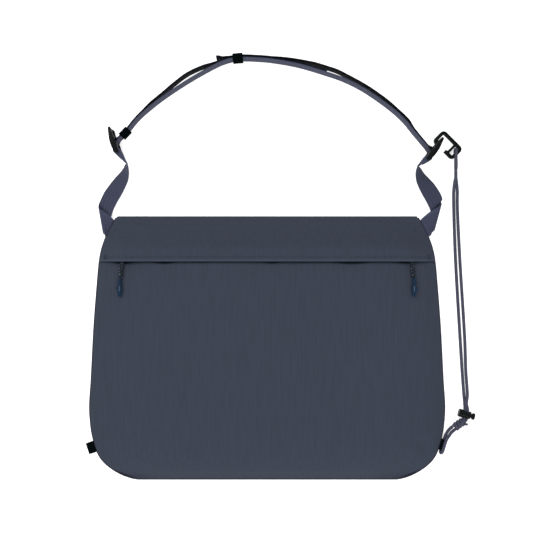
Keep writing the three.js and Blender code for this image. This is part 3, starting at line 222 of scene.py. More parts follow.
# The cloth's ends and fades, its gathers, the shade under the flap's edge, and the flap's hem
EDGE_MARGIN = 0.01
CLOTH_END = BAG_HEIGHT - EDGE_MARGIN
BACK_LOWEST = 0.02
FRONT_SIDE_FADE = 30
FRONT_LOW_FADE = 24
FLAP_SIDE_FADE = 18
FLAP_TOP_FADE = (0.5, 12)
GATHER_MARGIN = 4
GATHER_FADE = 14.0
GATHER_END = (-60.0, -2.0)
SHADE_LINE = 0.8
SHADE_REACH = 3.4
SHADE_SLOPE = 0.71875
SHADE_END = 12.0
HEM_RISE = 0.44
HEM_EDGE = (FLAP_DEPTH - 7.5, FLAP_DEPTH - 6.5)
HEM_STITCH = 4.6
HEM_INSET = 4.0
HEM_STEPS = 220
HEM_WAVE = 0.5
HEM_WAVE_LENGTH = 31.0
HEM_WAVE_RUN = (FLAP_DEPTH - 14, FLAP_DEPTH)

# Gathers below the flap: place across as a share of the width, width and depth
GATHERS = [
    (-0.4, 13, 1.1), (-0.285, 16, 1.0), (-0.19, 20, 0.5), (0.012, 12, 0.9), (0.1, 18, 0.5),
    (0.235, 22, 1.1), (0.385, 12, 0.9),
]

# Place, width and depth or strength: the groove under the flap's edge, and the painted highlight along its
# hem's edge
GROOVE = (0.2, 1.5, 1.3)
HEM_HIGHLIGHT = (0.7, 0.85, 0.5)

# Creases along the flap: depth down the bag, width and rise
FLAP_CREASES = [(6.0, 1.6, -0.5), (9.5, 2.5, 0.3), (FLAP_DEPTH - HEM_STITCH, 0.9, -0.4)]

# Fine unevenness: stretch across and down, size, height and seed
WRINKLE_LEVEL = 1.7
FRONT_WRINKLES = [(1, 1, 46, 0.5, 7.3), (1.6, 0.5, 17, 0.22, 10.3)]
FLAP_WRINKLES = [(0.5, 1, 30, 0.35, 18.3), (1, 0.6, 13, 0.12, 12.3)]

# The bound edge of the seam, the stitches, and the tacks at the hem's ends
BINDING_START = 2.0
BINDING_STEP = 2.5
BINDING_CORNER = 30
BINDING_CROWDING = 0.85
BINDING_OUT = 0.1
BINDING_RADIUS = 1.15
BOTTOM_STEPS = 60
STITCH_RISE = 0.1
STITCH_GAP = 0.7
STITCH_DIAMETER = 0.45
STITCH_SIDES = 6
TACK_PLACES = (5.0, 6.2, 7.4)
TACK_START = 8.0
TACK_LENGTH = 7.0
TACK_STEPS = 8

# A stitch's sections: share of its length, rise and size as shares of its diameter
STITCH_SECTIONS = [(0, -0.2, 0.5), (0.12, 0.15, 1), (0.5, 0.35, 1.1), (0.88, 0.15, 1), (1, -0.2, 0.5)]

# Steps along the webbing, where it thickens, and the wedges sewn next to the buckles
SIDE_WEB_STEP = 1.4
STRAP_STEP = 2.0
SIDE_LOOP_STEPS = 24
STRAP_LOOP_STEPS = 20
# Painted shade on the loops round the middle bars, as a share of the tails' painted shade
LOOP_SHADE = 0.6
LEG_SHARES = (0.33, 0.66, 1)
CLIMB_RUN = 17.0
PINCH_CLIMB = (9.0, 12.5)
PINCH_THICKER = 0.5
HEM_THICKER = 1.3
SEWN_STEPS = 8
SEWN_START = 1.0
SEWN_INSET = 0.6
SEWN_THICK = (1.4, 2.6)

# The webbing's section: shares of its half width and of its half thickness
WEB_PROFILE = [
    (-1, -0.35), (-0.985, -0.8), (-0.93, -1), (0, -1.0), (0.93, -1), (0.985, -0.8), (1, -0.35),
    (1, 0.35), (0.985, 0.8), (0.93, 1), (0, 1.0), (-0.93, 1), (-0.985, 0.8), (-1, 0.35),
]

# How the knot winds, crosses and ends; angles in radians
CORD_STEP = 2.0
CORD_SIDES = 16
KNOT_SIDES = 14
KNOT_STEPS = 120
KNOT_START = 1.1
KNOT_INSET = 1.6
KNOT_TAPER = 0.22
KNOT_SLANT = 1.1
KNOT_SLANT_TURN = 0.6
CROSSING_STEPS = 24
CROSSING_START = 2.3
CROSSING_TURN = 1.9
CROSSING_LENGTH = 0.8
CROSSING_RISE = 0.5
CROSSING_THIN = 0.95
KNOT_STRAND_THIN = 0.97
KNOT_END_FALL = -0.05
KNOT_END_RADII = [1, 1, 1, 1, 1, 1, 0.98, 0.96, 0.94, 0.95, 0.99]
KNOT_CORE = (-6.2, -3, 0, 3, 6.2)
KNOT_CORE_RADIUS = 2.8

# Zip pulls. The rows are a place along the moulded end as a share, and its half width and half
# height there as shares of its radius
PULL_STEP = 0.9
PULL_STRANDS = 3
PULL_STRAND_REACH = (1.3, 0.8)
PULL_STRAND_RADIUS = 1.12
PULL_CORD_RING = 10
PULL_END_RINGS = 12
PULL_END_SIDES = 20
PULL_END_SQUARENESS = 0.25
FLARE_FROM = 0.7
FLARE_SHIFT = 1.2
PULL_END_ROWS = [
    (0, 0.55, 0.5), (0.03, 0.66, 0.6), (0.1, 0.64, 0.58), (0.3, 0.63, 0.58), (0.4, 0.7, 0.6),
    (0.47, 1.0, 0.62), (0.53, 1.16, 0.64), (0.58, 1.12, 0.64), (0.66, 0.92, 0.62), (0.76, 0.78, 0.58),
    (0.92, 0.7, 0.54), (0.97, 0.64, 0.5), (1, 0.5, 0.38),
]
RIDGE_SHARES = (0.42, 0.5, 0.6, 0.7)
RIDGE_RISE = 0.66
RIDGE_RADIUS = 0.55

# Node, new piece's name, finish, slot, edge and body
SOFTENED = [
    ("buckle_left", "ladder_lock_left", "Black moulding", "black_plastic", 0.45, BODY),
    ("buckle_right", "ladder_lock_right", "Black moulding", "black_plastic", 0.45, BODY),
    ("g_hook", "open_hook", "Black moulding", "black_plastic", 0.5, BODY),
    ("cord_lock_barrel", "lock_barrel", "Black moulding", "black_plastic", 0.4, BODY),
    ("keeper_left", "elastic_keeper_left", "Black elastic", "elastic_black", 0.25, BODY),
    ("keeper_middle", "elastic_keeper_middle", "Black elastic", "elastic_black", 0.25, BODY),
    ("tab_left", "seam_tab_left", "Black elastic", "elastic_black", 0.25, BODY),
    ("tab_right", "seam_tab_right", "Black elastic", "elastic_black", 0.25, BODY),
    ("cord_lock_button", "lock_button_cap", "Black moulding", "black_plastic", 0.4, BUTTON_BODY),
]
ZIP_FINISHES = {
    "zip_tape": "Zip tape", "zip_slider_left": "Black moulding", "zip_slider_right": "Black moulding",
}

# Floor and lights in metres: name, place, target and size
FLOOR_SIZE = 40.0
FLOOR_COLOUR = (0.9, 0.9, 0.9)
WHITE = (1, 1, 1)
LIGHTS = [
    ("Front light", (0.1, -1.1, 1.0), (0, 0, 0), 0.9),
    ("Top light", (-0.5, 0.7, 1.3), (0, 0.05, 0), 1.1),
]

# Meshes: shortest length, distance in metres at which vertices merge, and angles in degrees
SHORTEST = 1e-6
MERGE_DISTANCE = 1e-5
FLAT_ANGLE = 2.0
EDGE_ANGLE = 30.0
SMOOTH_ANGLE = 40.0
TUBE_CAP = 0.3
UV_MIDDLE = 0.5

# Places and shapes, worked out as in the part's source


def clamp(value, low=0.0, high=1.0):
    return max(low, min(high, value))


def smooth_step(value, low, high):
    share = clamp((value - low) / (high - low))
    return share * share * (3 - 2 * share)


def bell(value, middle, width):
    """1 at the middle, falling to both sides over about the width."""
    return math.exp(-((value - middle) / width) ** 2)


def table_value(rows, place):
    """A smooth value between the rows of a table, which never overshoots them."""
    if place <= rows[0][0]:
        return rows[0][1]
    last = len(rows) - 1
    if place >= rows[last][0]:
        return rows[last][1]
    at = next(k for k in range(last + 1) if rows[k][0] > place) - 1

    def span(k):
        return rows[k + 1][0] - rows[k][0]

    def slope(k):
        return (rows[k + 1][1] - rows[k][1]) / span(k)

    def tangent(k):
        if k == 0:
            return slope(0)
        if k == last:
            return slope(last - 1)
        before, after = slope(k - 1), slope(k)
        return 0 if before * after <= 0 else 2 * before * after / (before + after)

    share = (place - rows[at][0]) / span(at)
    squared, cubed = share ** 2, share ** 3
    return ((2 * cubed - 3 * squared + 1) * rows[at][1]
            + (cubed - 2 * squared + share) * span(at) * tangent(at)
            + (3 * squared - 2 * cubed) * rows[at + 1][1]
            + (cubed - squared) * span(at) * tangent(at + 1))


def half_width(depth):
    return BAG_WIDTH * table_value(OUTLINE, depth / BAG_HEIGHT)


def seam_point(sign, depth):
    point = Vector((sign * half_width(depth), BAG_HEIGHT / 2 - depth, SEAM_HEIGHT))
    below = Vector((sign * half_width(depth + 1), point.y - 1, SEAM_HEIGHT))
    along = (below - point).normalized()
    return point, Vector((-along.y * sign, along.x * sign, 0))


def rounding(distance, reach):
    rest = 1 - min(max(distance, 0) / reach, 1)
    return 1 - rest ** LOFT_FULLNESS


def fold_rise(x, y):
    total = 0.0
    for fold_x, fold_y, turn, length, width, rise in FOLDS:
        angle = math.radians(turn)
        dx, dy = x - fold_x * BAG_WIDTH, y - fold_y * BAG_HEIGHT
        along = (dx * math.cos(angle) + dy * math.sin(angle)) / (length * BAG_HEIGHT)
        across = (dy * math.cos(angle) - dx * math.sin(angle)) / (width * BAG_WIDTH)
        total += rise * BAG_LOFT * math.exp(-along * along - across * across)
    return total


def loft(x, y):
    depth = BAG_HEIGHT / 2 - y
    side = rounding(half_width(depth) - abs(x), SIDE_ROUNDING)
    ends = rounding(depth, TOP_ROUNDING) * rounding(BAG_HEIGHT - depth, BOTTOM_ROUNDING)
    edge = min(side * ends * FOLD_FADE, 1)
    return BAG_LOFT * side * ends + fold_rise(x, y) * edge


def front_underside(x, y):
    return SEAM_HEIGHT + CLEARANCE / 2 + loft(x, y)


PULL_X = half_width(FLAP_DEPTH) - PULL_INSET


def flap_underside(x, y):
    depth = BAG_HEIGHT / 2 - y
    side = min((half_width(depth) - abs(x)) / PULL_INSET, 1)
    share = depth / FRONT_DEPTH
    over_front = (CLOTH + CLEARANCE) * smooth_step(share, FLAP_LIFT_START, FLAP_LIFT_END)
    over_zip = FLAP_BULGE * side * bell(depth, ZIP_DEPTH, FLAP_OVERLAP)
    near_pull = bell(abs(x), PULL_X, PULL_LIFT_WIDTH)
    over_pull = PULL_CORD_DIAMETER * near_pull * smooth_step(share, 0.5, 1)
    return front_underside(x, y) + over_front + over_zip + over_pull


def back_bottom(x, y):
    depth = BAG_HEIGHT / 2 - y
    side = rounding(half_width(depth) - abs(x), BACK_ROUNDING)
    ends = rounding(depth, BACK_ROUNDING) * rounding(BAG_HEIGHT - depth, BACK_ROUNDING)
    return max((SEAM_HEIGHT - CLEARANCE / 2 - CLOTH) * (1 - side * ends), BACK_LOWEST)


# Smooth lines


def curve_point(points, place):
    """A point of the centripetal curve through the points; place 1.5 is half way from 1 to 2."""
    last = len(points) - 1
    at = min(int(place), last - 1)
    share = place - at
    p1, p2 = points[at], points[at + 1]
    p0 = points[at - 1] if at > 0 else p1 * 2 - p2
    p3 = points[at + 2] if at + 2 <= last else p2 * 2 - p1
    spans = [max((b - a).length, SHORTEST) ** 0.5 for a, b in ((p0, p1), (p1, p2), (p2, p3))]
    out = ((p1 - p0) / spans[0] - (p2 - p0) / (spans[0] + spans[1]) + (p2 - p1) / spans[1]) * spans[1]
    into = ((p2 - p1) / spans[1] - (p3 - p1) / (spans[1] + spans[2]) + (p3 - p2) / spans[2]) * spans[1]
    return (p1 + out * share + (p2 * 3 - p1 * 3 - out * 2 - into) * share ** 2
            + (p1 * 2 - p2 * 2 + out + into) * share ** 3)


def smooth_line(points, longest_step):
    line = []
    for k in range(len(points) - 1):
        steps = max(1, round((points[k + 1] - points[k]).length / longest_step))
        line += [curve_point(points, k + s / steps) for s in range(steps)]
    return line + [points[-1].copy()]


def tangent_at(points, index):
    return (points[min(index + 1, len(points) - 1)] - points[max(index - 1, 0)]).normalized()


def lengths_along(line):
    lengths = [0.0]
    for before, after in zip(line, line[1:]):
        lengths.append(lengths[-1] + (after - before).length)
    return lengths


# Buckle frames, the side webbings and the strap


def pinch_point(side):
    sign = SIDES[side]["sign"]
    point, _ = seam_point(sign, WEB_SEAM_DEPTH)
    x, y = WEB_ROWS[side]["rows"][-1][:2]
    return Vector((point.x + sign * x * WEB_REACH, point.y + y * WEB_REACH, 0))


def buckle_place(side, along, across):
    """A point of the buckle's own frame: along it to the top bar, across it to the strap."""
    facts = SIDES[side]
    sign, angle = facts["sign"], math.radians(facts["turn"])
    u = Vector((sign * math.sin(angle), math.cos(angle), 0))
    v = Vector((-sign * math.cos(angle), math.sin(angle), 0))
    origin = pinch_point(side) + u * facts["pinch_distance"] - v * facts["pinch_across"]
    return origin + u * along + v * across


def loop_points(side, bar_place, from_turn, to_turn, steps):
    points = []
    for k in range(steps + 1):
        turn = math.radians(from_turn + (to_turn - from_turn) * k / steps)
        points.append(buckle_place(side, bar_place + LOOP_RADIUS * math.cos(turn),
                                   BAR_OFFSET + LOOP_RADIUS * math.sin(turn)))
    return points


def ruling(turn, tilt, sign):
    plan, lean = math.radians(turn), math.radians(tilt)
    flat = math.cos(lean)
    return Vector((sign * math.cos(plan) * flat, math.sin(plan) * flat, math.sin(lean)))


def web_controls(side):
    sign = SIDES[side]["sign"]
    facts = WEB_ROWS[side]
    point, outward = seam_point(sign, WEB_SEAM_DEPTH)
    roll_x, roll_y, roll_advance = facts["roll"]

    def place(x, y, z):
        return Vector((point.x + sign * x * WEB_REACH, point.y + y * WEB_REACH, z))

    controls = [(point + outward * SEAM_GAP, ruling(facts["seam_turn"], 0, sign), WEB_WIDTH)]
    axis = ruling(facts["roll_turn"], 0, sign)
    sideways = Vector((axis.y * sign, -axis.x * sign, 0))
    arc = math.pi * WEB_ROLL_RADIUS
    advance = roll_advance * WEB_REACH
    roll_width = WEB_WIDTH * math.hypot(arc, advance) / arc
    roll_middle = WEB_THICK / 2 + CLEARANCE + WEB_ROLL_RADIUS
    for k in range(WEB_ROLL_TURNS + 1):
        angle = math.pi * k / WEB_ROLL_TURNS
        middle = place(roll_x, roll_y, roll_middle + WEB_ROLL_RADIUS * math.cos(angle))
        middle += axis * (advance * k / WEB_ROLL_TURNS) + sideways * (WEB_ROLL_RADIUS * math.sin(angle))
        controls.append((middle, axis.copy(), roll_width))
    for x, y, turn, tilt in facts["rows"]:
        lean = abs(math.radians(tilt))
        height = WEB_WIDTH / 2 * math.sin(lean) + WEB_THICK / 2 * math.cos(lean) + CLEARANCE
        controls.append((place(x, y, height), ruling(turn, tilt, sign), WEB_WIDTH))
    return controls


def side_web_stations(side, step):
    """The side webbing's stations: middle, direction of its width and width."""
    controls = web_controls(side)
    middles = [middle for middle, _, _ in controls]
    rise = WEB_WIDTH / 2 + WEB_LIFT
    stations = []
    for k in range(len(controls) - 1):
        steps = max(1, round((middles[k + 1] - middles[k]).length / step))
        for s in range(steps):
            share = s / steps
            across = controls[k][1].lerp(controls[k + 1][1], share).normalized()
            width = controls[k][2] + (controls[k + 1][2] - controls[k][2]) * share
            stations.append([curve_point(middles, k + share), across, width])
    pinch = middles[-1].copy()
    pinch.z = rise - WEB_PINCH_DROP
    stations.append([pinch, controls[-1][1], WEB_WIDTH])
    facts = SIDES[side]
    to_pinch = Vector((-facts["pinch_distance"] - ANCHOR_BAR_PLACE, facts["pinch_across"] - BAR_OFFSET))
    heading = math.degrees(math.atan2(to_pinch.y, to_pinch.x))
    spread = math.degrees(math.acos(LOOP_RADIUS / to_pinch.length))
    loop = loop_points(side, ANCHOR_BAR_PLACE, heading + spread, heading + 360 - spread, SIDE_LOOP_STEPS)
    loop.reverse()
    flat_pinch = Vector((pinch.x, pinch.y, 0))
    leg = (flat_pinch - loop[-1]).length - LOOP_LEG_END
    back = (flat_pinch - loop[-1]).normalized()
    tail = [flat_pinch.lerp(loop[0], share) for share in LEG_SHARES[:-1]] + loop
    tail += [loop[-1] + back * (leg * share) for share in LEG_SHARES]
    for point in tail:
        stations.append([Vector((point.x, point.y, rise)), Vector((0, 0, -1)), WEB_WIDTH])
    return stations


def smooth_widths(stations, rounds):
    """Evens out the turn of the width from station to station."""
    for _ in range(rounds):
        widths = [station[1] for station in stations]
        for k in range(1, len(stations) - 1):
            stations[k][1] = (widths[k - 1] + widths[k] * 2 + widths[k + 1]).normalized()
    return stations


def strap_plan(step):
    left = buckle_place("left", MIDDLE_BAR_PLACE, BAR_OFFSET)
    right = buckle_place("right", MIDDLE_BAR_PLACE, BAR_OFFSET)
    controls = []
    for along, rise in STRAP_ROWS:
        point = left.lerp(right, along)
        point.y += rise * STRAP_RISE
        controls.append(point)
    line = smooth_line(controls, step)
    lengths = lengths_along(line)
    shares = [length / lengths[-1] for length in lengths]
    return left, right, line, shares


def offset_line(line, shares, rows):
    points = []
    for k, point in enumerate(line):
        tangent = tangent_at(line, k)
        apart = table_value(rows, shares[k]) * TAIL_SLACK
        points.append(point + Vector((-tangent.y, tangent.x, 0)) * (LAYER + apart))
    return points


def strap_lift(point, left, right):
    near = min((point - left).length, (point - right).length)
    return WEB_LIFT + (KEEPER_LIFT - WEB_LIFT) * smooth_step(near, *STRAP_LIFT_FADE)


def strap_stations(step):
    """The strap's stations from the left tail's tip to the right tail's end, and how much painted shade each
    gets.
    """
    left, right, line, shares = strap_plan(step)
    over_left, over_right = (offset_line(line, shares, rows) for rows in (TAIL_LEFT_ROWS, TAIL_RIGHT_ROWS))
    tail_left = [point for point, share in zip(over_left, shares) if share <= TAIL_LEFT_END]
    tail_right = [point for point, share in zip(over_right, shares) if share >= TAIL_RIGHT_END]
    turn_left, turn_right = (SIDES[side]["strap_turn"] for side in SIDES)
    loop_left = loop_points("left", MIDDLE_BAR_PLACE, turn_left - 90, turn_left - 270, STRAP_LOOP_STEPS)
    loop_right = loop_points("right", MIDDLE_BAR_PLACE, turn_right + 90, turn_right + 270, STRAP_LOOP_STEPS)
    stations, shades = [], []
    for points, shade in ((tail_left[::-1], 1.0), (loop_left, LOOP_SHADE), (line, 0.0),
                          (loop_right, LOOP_SHADE), (tail_right[::-1], 1.0)):
        for point in points:
            middle = Vector((point.x, point.y, WEB_WIDTH / 2 + strap_lift(point, left, right)))
            stations.append([middle, Vector((0, 0, 1)), WEB_WIDTH])
            shades.append(shade)
    return stations, shades


# Meshes


def deselect():
    bpy.ops.object.select_all(action="DESELECT")


def make_active(piece):
    deselect()
    piece.select_set(True)
    bpy.context.view_layer.objects.active = piece


def new_object(name, vertices, faces, material):
    """A smooth object from vertices in millimetres."""
    mesh = bpy.data.meshes.new(name)
    mesh.from_pydata([tuple(c * MM for c in v) for v in vertices], [], faces)
    mesh.validate()
    mesh.update()
    mesh.materials.append(material)
    mesh.polygons.foreach_set("use_smooth", [True] * len(mesh.polygons))
    piece = bpy.data.objects.new(name, mesh)
    bpy.context.collection.objects.link(piece)
    return piece


def outward_normals(piece):
    make_active(piece)
    bpy.ops.object.mode_set(mode="EDIT")
    bpy.ops.mesh.select_all(action="SELECT")
    bpy.ops.mesh.normals_make_consistent(inside=False)
    bpy.ops.object.mode_set(mode="OBJECT")


def apply_modifiers(piece):
    make_active(piece)
    for modifier in list(piece.modifiers):
        bpy.ops.object.modifier_apply(modifier=modifier.name)


def ring_faces(count, sides, base=0):
    """Faces between rings of vertices that follow one another from base on."""
    faces = []
    for k in range(count - 1):
        for s in range(sides):
            a, b = base + k * sides + s, base + k * sides + (s + 1) % sides
            faces.append((a, b, b + sides, a + sides))
    return faces


def end_faces(count, sides, base=0):
    """The two flat faces that close such a row of rings."""
    last = base + (count - 1) * sides
    return [tuple(base + s for s in range(sides))[::-1], tuple(last + s for s in range(sides))]


def web_mesh(name, stations, material, shades, thicks):
    """A webbing through stations, with rounded edges, a UV map and a shade for each station."""
    middles = [middle for middle, _, _ in stations]
    lengths = lengths_along(middles)
    sides = len(WEB_PROFILE)
    vertices = []
    for k, (middle, across, width) in enumerate(stations):
        normal = tangent_at(middles, k).cross(across).normalized()
        half_thick = WEB_THICK / 2 * thicks[k]
        vertices += [middle + across * (w * width / 2) + normal * (t * half_thick) for w, t in WEB_PROFILE]
    count = len(stations)
    piece = new_object(name, vertices, ring_faces(count, sides) + end_faces(count, sides), material)
    shade = piece.data.attributes.new("shade", "FLOAT", "POINT")
    for index, datum in enumerate(shade.data):
        datum.value = shades[index // sides]
    uv = piece.data.uv_layers.new(name="Weave")
    for loop, corner in enumerate(piece.data.loops):
        station, side = divmod(corner.vertex_index, sides)
        across = WEB_PROFILE[side][0] * stations[station][2] / 2
        uv.data[loop].uv = (across * MM + UV_MIDDLE, lengths[station] * MM)
    outward_normals(piece)
    return piece


def tube_mesh(name, points, radius, sides, material, radii=None):
    """A tube with rounded ends and a UV map: round it, and along it in metres."""
    vertices = []
    side = Vector((0, 0, 1))
    count = len(points)
    for k, point in enumerate(points):
        tangent = tangent_at(points, k)
        side = side - tangent * side.dot(tangent)
        if side.length < SHORTEST:
            side = tangent.orthogonal()
        side.normalize()
        other = tangent.cross(side)
        size = radius * (radii[k] if radii else 1)
        for s in range(sides):
            turn = 2 * math.pi * s / sides
            vertices.append(point + (side * math.cos(turn) + other * math.sin(turn)) * size)
    last_ring = (count - 1) * sides
    faces = ring_faces(count, sides)
    vertices.append(points[0] - tangent_at(points, 0) * (radius * TUBE_CAP))
    vertices.append(points[-1] + tangent_at(points, count - 1) * (radius * TUBE_CAP))
    for s in range(sides):
        faces.append((count * sides, (s + 1) % sides, s))
        faces.append((count * sides + 1, last_ring + s, last_ring + (s + 1) % sides))
    piece = new_object(name, vertices, faces, material)
    lengths = lengths_along(points)
    uv = piece.data.uv_layers.new(name="Braid")
    for polygon in piece.data.polygons:
        corners = [(i, *divmod(piece.data.loops[i].vertex_index, sides)) for i in polygon.loop_indices]
        turns = [turn for _, _, turn in corners]
        wraps = 0 in turns and sides - 1 in turns
        for loop, ring, turn in corners:
            if ring >= count:
                uv.data[loop].uv = (0.0, lengths[0 if turn == 0 else -1] * MM)
                continue
            around = sides if wraps and turn == 0 else turn
            uv.data[loop].uv = (around / sides, lengths[ring] * MM)
    return piece


def joined(name, pieces):
    """One object from several, kept at the origin."""
    deselect()
    for piece in pieces:
        piece.select_set(True)
    bpy.context.view_layer.objects.active = pieces[0]
    bpy.ops.object.join()
    whole = bpy.context.view_layer.objects.active
    whole.name = name
    whole.data.name = name
    return whole


def softened_copy(node, name, material, bevel):
    """A copy of a moulded CAD node with its edges rounded."""
    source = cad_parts[node]
    piece = source.copy()
    piece.data = source.data.copy()
    piece.name = name
    piece.data.name = name
    bpy.context.collection.objects.link(piece)
    make_active(piece)
    bpy.ops.object.mode_set(mode="EDIT")
    bpy.ops.mesh.select_all(action="SELECT")
    bpy.ops.mesh.remove_doubles(threshold=MERGE_DISTANCE)
    bpy.ops.mesh.dissolve_limited(angle_limit=math.radians(FLAT_ANGLE))
    bpy.ops.object.mode_set(mode="OBJECT")
    piece.data.materials.clear()
    piece.data.materials.append(material)
    rounder = piece.modifiers.new("Rounded edges", "BEVEL")
    rounder.width = bevel * MM
    rounder.segments = 2
    rounder.limit_method = "ANGLE"
    rounder.angle_limit = math.radians(EDGE_ANGLE)
    rounder.use_clamp_overlap = True
    apply_modifiers(piece)
    bpy.ops.object.shade_smooth_by_angle(angle=math.radians(SMOOTH_ANGLE))
    return piece


def point_at(points, lengths, target):
    """The point at a length along a line."""
    k = min(max(i for i, value in enumerate(lengths) if value <= target), len(points) - 2)
    share = (target - lengths[k]) / max(lengths[k + 1] - lengths[k], SHORTEST)
    return points[k].lerp(points[k + 1], share)


def stitch_rows(name, runs, length, material):
    """Stitches along runs of points on the cloth's upper side, as one object."""
    up = Vector((0, 0, 1))
    vertices, faces = [], []
    for run in runs:
        lengths = lengths_along(run)
        place = STITCH_GAP / 2
        while place + length < lengths[-1]:
            start, end = (point_at(run, lengths, target) for target in (place, place + length))
            wide = (end - start).normalized().cross(up).normalized()
            base = len(vertices)
            for share, rise, size in STITCH_SECTIONS:
                centre = start.lerp(end, share) + up * (rise * STITCH_DIAMETER)
                for s in range(STITCH_SIDES):
                    turn = 2 * math.pi * s / STITCH_SIDES
                    reach = wide * math.cos(turn) + up * math.sin(turn)
                    vertices.append(centre + reach * (STITCH_DIAMETER * size / 2))
            faces += ring_faces(len(STITCH_SECTIONS), STITCH_SIDES, base)
            faces += end_faces(len(STITCH_SECTIONS), STITCH_SIDES, base)
            place += length + STITCH_GAP
    piece = new_object(name, vertices, faces, material)
    outward_normals(piece)
    return piece


# Materials


class Net:
    """The nodes of one material or group, made and linked in short calls."""

    def __init__(self, tree):
        self.tree = tree

    def put(self, kind):
        return self.tree.nodes.new("ShaderNode" + kind)

    def feed(self, socket, value):
        """Links another node's output, or sets a number or a colour."""
        if isinstance(value, bpy.types.NodeSocket):
            self.tree.links.new(value, socket)
        elif isinstance(value, (int, float)):
            socket.default_value = value
        else:
            socket.default_value = (*value[:3], 1)

    def math(self, operation, *values):
        step = self.put("Math")
        step.operation = operation
        for socket, value in zip(step.inputs, values):
            self.feed(socket, value)
        return step.outputs[0]

    def scaled(self, value, factor):
        return self.math("MULTIPLY", value, factor)

    def wave(self, place, pitch, kind="SINE"):
        """A wave between 0 and 1 with that pitch."""
        swing = self.math(kind, self.scaled(place, 2 * math.pi / pitch))
        return self.math("MULTIPLY_ADD", swing, 0.5, 0.5)

    def lines(self, place, pitch, power):
        """Thin lines half a pitch apart."""
        swing = self.math("COSINE", self.scaled(place, 2 * math.pi / pitch))
        return self.math("POWER", self.math("ABSOLUTE", swing), power)

    def mix(self, factor, first, second, blend="MIX"):
        mix = self.put("Mix")
        mix.data_type = "RGBA"
        mix.blend_type = blend
        for k, value in zip((0, 6, 7), (factor, first, second)):
            self.feed(mix.inputs[k], value)
        return mix.outputs[2]

    def group(self, name, **values):
        holder = self.put("Group")
        holder.node_tree = shared_group(name)
        for label, value in values.items():
            self.feed(holder.inputs[label.replace("_", " ")], value)
        return holder.outputs

    def axes(self, vector):
        split = self.put("SeparateXYZ")
        self.tree.links.new(vector, split.inputs[0])
        return split.outputs

    def object_axes(self):
        return self.axes(self.put("TexCoord").outputs["Object"])

    def uv_axes(self, name):
        uv = self.put("UVMap")
        uv.uv_map = name
        return self.axes(uv.outputs[0])

    def attribute(self, name):
        holder = self.put("Attribute")
        holder.attribute_name = name
        return holder.outputs["Fac"]

    def surface(self, shader, tone, height, strength, distance):
        """Gives the shader its colour and its relief."""
        self.feed(shader.inputs["Base Color"], tone)
        bump = self.put("Bump")
        self.feed(bump.inputs["Strength"], strength)
        self.feed(bump.inputs["Distance"], distance)
        self.feed(bump.inputs["Height"], height)
        self.feed(shader.inputs["Normal"], bump.outputs["Normal"])


def new_group(name, inputs, outputs):
    group = bpy.data.node_groups.new(name, "ShaderNodeTree")
    for label, value in inputs.items():
        group.interface.new_socket(label, in_out="INPUT", socket_type="NodeSocketFloat").default_value = value
    for label in outputs:
        group.interface.new_socket(label, in_out="OUTPUT", socket_type="NodeSocketFloat")
    start, end = (group.nodes.new(kind) for kind in ("NodeGroupInput", "NodeGroupOutput"))
    return group, Net(group), start.outputs, end.inputs


def plain_weave():
    """A plain weave on two coordinates in metres: height of the threads and the gaps between."""
    inputs = {"Along": 0, "Across": 0, "Threads Along": 2000, "Threads Across": 2000}
    group, net, start, end = new_group("Plain weave", inputs, ("Height", "Gap"))
    waves, cells = [], []
    for label in ("Along", "Across"):
        place = net.scaled(start[label], start["Threads " + label])
        waves.append(net.math("ABSOLUTE", net.math("SINE", net.scaled(place, math.pi))))
        cells.append(net.math("FLOOR", place))
    odd = net.math("MODULO", net.math("ABSOLUTE", net.math("ADD", *cells)), 2.0)
    under = net.scaled(net.math("SUBTRACT", 1.0, odd), waves[1])
    net.feed(end["Height"], net.math("ADD", net.scaled(odd, waves[0]), under))
    gap = net.math("SUBTRACT", 1.0, net.scaled(*waves))
    net.feed(end["Gap"], net.math("POWER", gap, 3.0))
    return group


def mottle():
    """Broad and fine unevenness of a dyed or moulded surface, from the object's own place."""
    inputs = {"Broad Scale": 12, "Fine Scale": 900, "Stretch": 1}
    group, net, start, end = new_group("Mottle", inputs, ("Broad", "Fine"))
    x, y, z = net.object_axes()
    place = net.put("CombineXYZ")
    for socket, value in zip(place.inputs, (x, net.math("DIVIDE", y, start["Stretch"]), z)):
        net.feed(socket, value)
    for label, detail in (("Broad", 3.0), ("Fine", 2.0)):
        texture = net.put("TexNoise")
        net.feed(texture.inputs["Detail"], detail)
        net.feed(texture.inputs["Vector"], place.outputs[0])
        net.feed(texture.inputs["Scale"], start[label + " Scale"])
        net.feed(end[label], texture.outputs["Fac"])
    return group


def edge_wear():
    """A mask of the sharp edges, for their wear and painted highlight, from how sharply the surface turns."""
    group, net, start, end = new_group("Edge wear", {"Sharpness": 6.0}, ("Wear",))
    raised = net.math("SUBTRACT", net.put("NewGeometry").outputs["Pointiness"], 0.5)
    clamped = net.put("Clamp")
    net.feed(clamped.inputs[0], net.scaled(raised, start["Sharpness"]))
    net.feed(end["Wear"], clamped.outputs[0])
    return group


GROUPS = {"weave": plain_weave, "mottle": mottle, "wear": edge_wear}
MADE = {}


def shared_group(name):
    """A node group, built when a material first asks for it."""
    if name not in MADE:
        MADE[name] = GROUPS[name]()
    return MADE[name]


def tint(colour, factor, lift=0.0):
    return tuple(min(c * factor + lift, 1) for c in colour)


def new_material(name, roughness, specular):
    material = bpy.data.materials.new(name)
    material.use_nodes = True
    shader = material.node_tree.nodes["Principled BSDF"]
    shader.inputs["Roughness"].default_value = roughness
    shader.inputs["Specular IOR Level"].default_value = specular
    return material, Net(material.node_tree), shader


